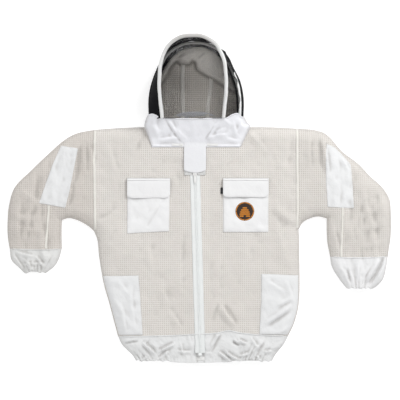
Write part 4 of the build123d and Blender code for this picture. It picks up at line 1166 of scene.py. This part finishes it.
def casing(hoop, path, radius, seed):
    """A sewn sleeve of cloth round a hoop, a little uneven."""
    tangent = np.gradient(path, axis=0)
    tangent /= np.linalg.norm(tangent, axis=1)[:, None]
    phases = np.random.default_rng(seed).random(6) * 2 * pi
    up = np.array([0, -0.2, 1.0])
    verts, uv, along = [], [], np.concatenate([[0], np.cumsum(np.linalg.norm(np.diff(path, axis=0), axis=1))])
    for k, (at, run) in enumerate(zip(path, tangent)):
        side = np.cross(run, up)
        side /= np.linalg.norm(side)
        lift = np.cross(side, run)
        for i in range(CASING_SIDES):
            turn = 2 * pi * i / CASING_SIDES
            pucker = (np.sin(along[k] / 4.1 + 2 * turn + phases[0]) * 0.5
                      + np.sin(along[k] / 9.7 - turn + phases[1]) + 0.7 * np.sin(along[k] / 23 + phases[2]))
            r = radius + CASING_PUCKER * pucker
            verts.append(at + side * r * np.cos(turn) + lift * r * np.sin(turn))
            uv.append((radius * turn, along[k]))
    faces = []
    for k in range(len(path) - 1):
        for i in range(CASING_SIDES):
            a, b = k * CASING_SIDES + i, k * CASING_SIDES + (i + 1) % CASING_SIDES
            faces.append((a, b, b + CASING_SIDES, a + CASING_SIDES))
    faces.append(tuple(range(CASING_SIDES))[::-1])
    faces.append(tuple(range(len(verts) - CASING_SIDES, len(verts))))
    piece = make(f"{hoop}_casing_cloth", verts, faces, CASING, uv, "collar_cotton")
    trims.setdefault("side_netting_cloth", []).append(piece)
    # painted shade: the casing is greyer over its top
    crest = np.repeat(ease((0.2 - np.abs(along / along[-1] - 0.5)) / 0.16), CASING_SIDES).astype(np.float32)
    piece.data.attributes.new("edge", "FLOAT", "POINT").data.foreach_set("value", crest)
    put(piece, hoop, f"{hoop}_casing", f"{hoop}_rod")


casing("front_hoop", front_hoop, 5.6, 1)
casing("rear_hoop", rear_hoop, 4.8, 2)


def net(name, grid, keep, strand, depth):
    """Netting of flat strands along a grid of points; every strand is a closed bar."""
    grid = np.array(grid, float)
    rows, columns = keep.shape
    down = np.gradient(grid, axis=0)
    along = np.gradient(grid, axis=1)
    down /= np.linalg.norm(down, axis=2)[..., None] + TINY
    along /= np.linalg.norm(along, axis=2)[..., None] + TINY
    out = np.cross(along, down)
    out /= np.linalg.norm(out, axis=2)[..., None] + TINY
    index = -np.ones(keep.shape, int)
    index[keep] = np.arange(keep.sum()) * 8
    corners = []
    wide, tall = (np.minimum(strand, 0.93 * np.linalg.norm(np.gradient(grid, axis=k), axis=2)[..., None]) / 2
                  for k in (1, 0))
    for up in (1, -1):
        for u, v in ((-1, -1), (1, -1), (1, 1), (-1, 1)):
            corners.append(grid + along * u * wide + down * v * tall + out * up * depth / 2)
    verts = np.stack([c[keep] for c in corners], axis=1).reshape(-1, 3)
    a = index[keep]
    faces = [np.column_stack([a, a + 1, a + 2, a + 3]), np.column_stack([a + 7, a + 6, a + 5, a + 4])]
    walls = {"right": (1, 5, 6, 2), "left": (3, 7, 4, 0), "far": (2, 6, 7, 3), "near": (0, 4, 5, 1)}
    has = {side: np.zeros(keep.shape, bool) for side in walls}
    both = keep[:, :-1] & keep[:, 1:]
    p, q = index[:, :-1][both], index[:, 1:][both]
    faces += [np.column_stack(f) for f in ((p + 1, q, q + 3, p + 2), (p + 6, q + 7, q + 4, p + 5),
                                           (p + 5, q + 4, q, p + 1), (p + 2, q + 3, q + 7, p + 6))]
    has["right"][:, :-1] |= both
    has["left"][:, 1:] |= both
    both = keep[:-1] & keep[1:]
    p, q = index[:-1][both], index[1:][both]
    faces += [np.column_stack(f) for f in ((p + 3, p + 2, q + 1, q), (q + 4, q + 5, p + 6, p + 7),
                                           (p + 2, p + 6, q + 5, q + 1), (p + 7, p + 3, q, q + 4))]
    has["far"][:-1] |= both
    has["near"][1:] |= both
    for side, wall in walls.items():
        b = index[keep & ~has[side]]
        faces.append(np.column_stack([b + k for k in wall]))
    return make(name, verts, np.vstack(faces).tolist(), NET, slot="black_netting", shade=False)


VEIL_PITCH = 3.3
veil_outline = front_arch(3, 0)
u, v = np.meshgrid(np.arange(-115, 116, VEIL_PITCH), np.arange(-1, 292, VEIL_PITCH))
flat = np.column_stack([u.ravel(), v.ravel()])
keep = inside(flat, veil_outline).reshape(u.shape)
belly = bulge(distance(flat, closed(veil_outline)) / 70)
lean = radians(FRONT_TILT)
lift = (5.5 * belly + 0.8 * np.sin(flat[:, 0] / 17 + flat[:, 1] / 60) * belly)
grid = np.column_stack([FRONT_X + flat[:, 0], HINGE_Y + flat[:, 1] * cos(lean) - lift * sin(lean),
                        FRONT_Z + flat[:, 1] * sin(lean) + lift * cos(lean)]).reshape(*u.shape, 3)
strand = np.interp(v, [0, 120, 200, 290], [0.42, 0.36, 0.2, 0.18]) * np.interp(abs(u), [0, 35, 60],
                                                                               [0.6, 0.8, 1.4])
veil = net("front_veil_netting", grid, keep, strand[..., None], 0.3)
cut(veil, veil_outline, "stretched", ["front_hoop_casing_cloth"], solid=0.45)
put(veil, "front_hoop", "front_veil")


def spread(line, count):
    """So many points along the line."""
    return np.column_stack([np.interp(np.linspace(0, 1, count), np.linspace(0, 1, len(line)), values)
                            for values in np.transpose(line)])


def hung(piece, grid, on):
    """Notes netting that hangs between two lines of its grid."""
    width = np.linalg.norm(np.diff(grid, axis=1), axis=2).sum(1).mean() * MM
    length = np.linalg.norm(np.diff(grid, axis=0), axis=2).sum(0).mean() * MM
    across = np.cross(grid[1:, 1:] - grid[:-1, :-1], grid[1:, :-1] - grid[:-1, 1:])
    area = 0.5 * np.linalg.norm(across, axis=2).sum() * MM**2
    sheets.append((piece, (width, length), "hung", on, min(area, width * length)))


# side netting, from the front hoop down to the rear one, in soft folds
columns, rows = 212, 25
upper = spread(resample(front_hoop, 1), columns)
lower = spread(resample(rear_hoop, 1), columns)
s = np.linspace(0, 1, columns)[None, :, None]
t = np.linspace(0.0, 1.0, rows)[:, None, None]
middle = np.array([-15.0, 380.0, 0.0])
outward = lower - middle
outward[:, 2] = 0
outward /= np.linalg.norm(outward, axis=1)[:, None]
fold = np.sin(s * 61 + 3 * np.sin(s * 9)) * 3.2 + np.sin(s * 133 + 1.0) * 1.2
swell = np.sin(pi * t) * (5.0 + fold * (0.35 + 0.65 * ease((s - 0.45) / 0.2)))
# up to the wearer's left leg the netting goes over the rear hoop's casing, and down outside it
KNEE = 0.84
over = ease((0.80 - s) / 0.06)
crest = lower[None] + over * (outward[None] * 1.5 + np.array([0.0, 0.0, 6.4]))
outside = lower[None] + over * (outward[None] * 7.5 + np.array([0.0, 0.0, 0.5]))
grid = np.where(t < KNEE, upper[None] + (crest - upper[None]) * t / KNEE,
                crest + (outside - crest) * (t - KNEE) / (1 - KNEE)) + outward[None] * swell * (t < 1)
dense = np.interp(s, [0, 0.26, 0.34, 0.66, 0.78, 1], [2.9, 2.9, 2.5, 2.5, 0.7, 0.6])
side_net = net("side_netting_cloth", grid, np.ones(grid.shape[:2], bool), dense, 0.45)
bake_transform(side_net)
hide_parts("side_netting")
hung(side_net, grid, ["front_hoop_casing_cloth", "rear_hoop_casing_cloth"])

# netting below the rear hoop: out to the widest line, down, and in under the crown
crown_line = smooth([(-142, 262), (-140, 300), (-134, 350), (-124, 392), (-108, 425), (-88, 452), (-52, 478),
                     (2, 488), (42, 474), (72, 446), (92, 412), (108, 372), (116, 320), (118, 262)], 3)
wide = lower + outward * np.interp(s[0], [0, 0.3, 0.4, 0.72, 0.8, 1], [10.5, 9, 7, 8.5, 14, 15])
wide[:, 2] = lower[:, 2] * 0.42
bottom = np.column_stack([spread(crown_line, columns), np.full(columns, 9.0)])
rows = 27
t = np.linspace(0.0, 1.0, rows)[:, None, None]
grid = ((1 - t) ** 2 * lower[None] + 2 * t * (1 - t) * (2 * wide - 0.5 * lower - 0.5 * bottom)[None]
        + t**2 * bottom[None])
grid[..., 2] = np.maximum(grid[..., 2], 1.7)
skirt = net("rear_netting_cloth", grid, np.ones(grid.shape[:2], bool),
            np.interp(s, [0, 0.3, 0.4, 0.6, 0.7, 1], [2.7, 2.6, 1.7, 1.7, 2.6, 2.6]), 0.45)
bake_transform(skirt)
hung(skirt, grid, ["rear_hoop_casing_cloth"])

# the hood's back: a lower panel and a crown that folds over it
crease_line = smooth([(-133, 352), (-104, 392), (-84, 430), (-70, 440), (-60, 434), (-30, 433), (-20, 441),
                      (-8, 416), (12, 402), (36, 389), (72, 368), (112, 344)], 3)
crown_top = crown_line[crown_line[:, 1] > 345]
panel_side = int(len(crown_line) * 0.26)
panel_outline = join(resample([(-142, 256), (118, 256)], 5), crown_line[::-1][:panel_side],
                     smooth([(108, 372), (60, 400), (0, 452), (-40, 462), (-84, 446), (-124, 392)], 4),
                     crown_line[:panel_side][::-1])


def panel_height(points):
    side = distance(points, crown_line)
    rise = (4.4 + 7 * (1 - bulge(side / 46)) + waves(points, 81, 16, 36, 110, 0.8)
            + creases(points, [(-100, 300, -108, 380, 12, 2.0), (70, 280, 84, 350, 12, 2.2),
                               (-10, 330, 6, 400, 12, 1.4)]))
    return np.maximum(rise, 2.8)  # the cloth is 2 mm thick and lies on the floor


crown_outline = join(crease_line, crown_top[::-1])


def crown_height(points):
    edge = distance(points, crease_line)
    far = distance(points, crown_top)
    return (8.5 + 17 * bulge(edge / 16) * (0.35 + 0.65 * bulge(far / 40)) + waves(points, 83, 18, 30, 80, 1.2)
            + creases(points,
                      [(-62, 446, -20, 470, 7, 2.6), (-84, 440, -44, 462, 6, 2.0), (-4, 440, 24, 470, 6, 3.2),
                               (10, 410, 52, 446, 7, 2.0), (-30, 444, -16, 476, 6, 2.0),
                               (60, 390, 90, 400, 8, 2.0)]))


hood_panel = skin(panel_outline, 5.0, panel_height, (2.0,))
crown = skin(crown_outline, 4.0, crown_height, (1.2, 3.5))
piece = sheet_piece("hood_back_cloth", merge(hood_panel, crown), 2.0, [MESH_BACK, MESH_CROWN],
                    "ventilated_mesh", [crease_line])
middles = np.array([np.mean([v.co for v in map(piece.data.vertices.__getitem__, f.vertices)], axis=0)
                    for f in piece.data.polygons]) / MM
piece.data.polygons.foreach_set("material_index", [int(c) for c in inside(middles[:, :2], crown_outline)
                                                   & (middles[:, 2] > 12)])
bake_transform(piece)
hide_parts("hood_back")
sheets.append((piece, (0.26, 0.36), "folded", ["floor"],
               measured(panel_outline)[2] + measured(crown_outline)[2]))
tapes = [ribbon(resample(smooth(line), 4), 6.5) for line in (
    [(-51, 262), (-52, 330), (-53, 400), (-50, 440)], [(24, 262), (28, 310), (36, 360), (37, 392)])]
piece = flat_patches("hood_back_tapes_cloth", tapes, 4, lambda p: panel_height(p) + 1.3, 1.0, HOOD_TAPE,
                     "cream_binding", "hood", "hood_back_tapes")
sheets.append((piece, (2 * 0.013, 0.19), "laid", ["hood_back_cloth"], 0.013 * (0.179 + 0.131)))

# Elastics and hardware -----------------------------------------------------------------------------
for node, body, corners in (
        ("hem_elastic", "jacket", (-190, -497, 220, -484)),
        ("left_cuff_elastic", "left_arm", (470, -268, 536, -252)),
        ("right_cuff_elastic", "right_arm", (-545, -219, -490, -205))):
    outline = box(*corners, 3.5)
    verts, faces, uv = merge(thicken(*skin(outline, 3.5, lambda p: top(p) - 2.4, ()), 0.9),
                             thicken(*skin(outline, 3.5, lambda p: under(p) + 3.4, (), flip=True), 0.9))
    piece = make(f"{node}_band", verts, faces, ELASTIC, uv, "elastic")
    cut(piece, outline, "gathered", [node.replace("elastic", "cloth").replace("hem_", "hem_band_")], layers=2)
    put(piece, body, node)

for body, rows in stitch_lines.items():
    verts, faces, uv = [], [], []
    for row in rows:
        k = len(verts)
        verts += row
        uv += [(p[0], p[1]) for p in row]
        faces += [(k, k + 2 + (i + 1) % 4, k + 2 + i) for i in range(4)]
        faces += [(k + 1, k + 2 + i, k + 2 + (i + 1) % 4) for i in range(4)]
    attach(make(f"{body}_stitching", verts, faces, THREAD, uv, "white_twill"), body)

# Floor, light, camera ------------------------------------------------------------------------------
FLOOR_HALF, FLOOR_Z = 9, -0.0006
floor_mesh = bpy.data.meshes.new("floor")
floor_mesh.from_pydata([(x * FLOOR_HALF, y * FLOOR_HALF, FLOOR_Z) for x,
                        y in ((-1, -1), (1, -1), (1, 1), (-1, 1))], [],
                       [(0, 1, 2, 3)])
floor = bpy.data.objects.new("floor", floor_mesh)
bpy.context.scene.collection.objects.link(floor)
floor_paint = Paint("pale_floor", 0.9)
speckle = floor_paint.noise(floor_paint.add("TexCoord", output=3), 3, 3)
floor_mesh.materials.append(floor_paint.finish(floor_paint.mix(speckle, (0.56, 0.56, 0.56),
                                                               (0.58, 0.58, 0.58))))
floor_paint.shader.inputs["Emission Color"].default_value = (1, 1, 1, 1)
floor_paint.shader.inputs["Emission Strength"].default_value = 0.6

world = bpy.data.worlds.new("studio")
bpy.context.scene.world = world
world.use_nodes = True
world.node_tree.nodes["Background"].inputs[0].default_value = (1.0, 1.0, 1.0, 1)
world.node_tree.nodes["Background"].inputs[1].default_value = 0.66


def lamp(name, place, size, power):
    light = bpy.data.lights.new(name, "AREA")
    light.size, light.energy = size, power
    holder = bpy.data.objects.new(name, light)
    holder.location = place
    holder.rotation_mode = "QUATERNION"
    holder.rotation_quaternion = (-Vector(place)).to_track_quat("-Z", "Y")
    bpy.context.scene.collection.objects.link(holder)


lamp("key", (1.9, 2.4, 2.9), 1.6, 104)
lamp("fill", (-2.6, -1.0, 3.2), 2.4, 26)

SENSOR, CAMERA_HEIGHT, SEEN_WIDTH = 36, 5.0, 1.26
camera_data = bpy.data.cameras.new("camera")
camera_data.sensor_width = SENSOR
camera_data.lens = SENSOR * CAMERA_HEIGHT / SEEN_WIDTH
camera = bpy.data.objects.new("camera", camera_data)
camera.location = (0.0022, 0.0069, CAMERA_HEIGHT)
bpy.context.scene.collection.objects.link(camera)
bpy.context.scene.camera = camera
bpy.context.scene.view_settings.view_transform = "Standard"

finishes = {"rod": ROD, "zip_end_box": TOOTH}
for name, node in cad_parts.items():
    node.data.materials.clear()
    node.data.materials.append(next((kind for key, kind in finishes.items() if key in name), ENAMEL))
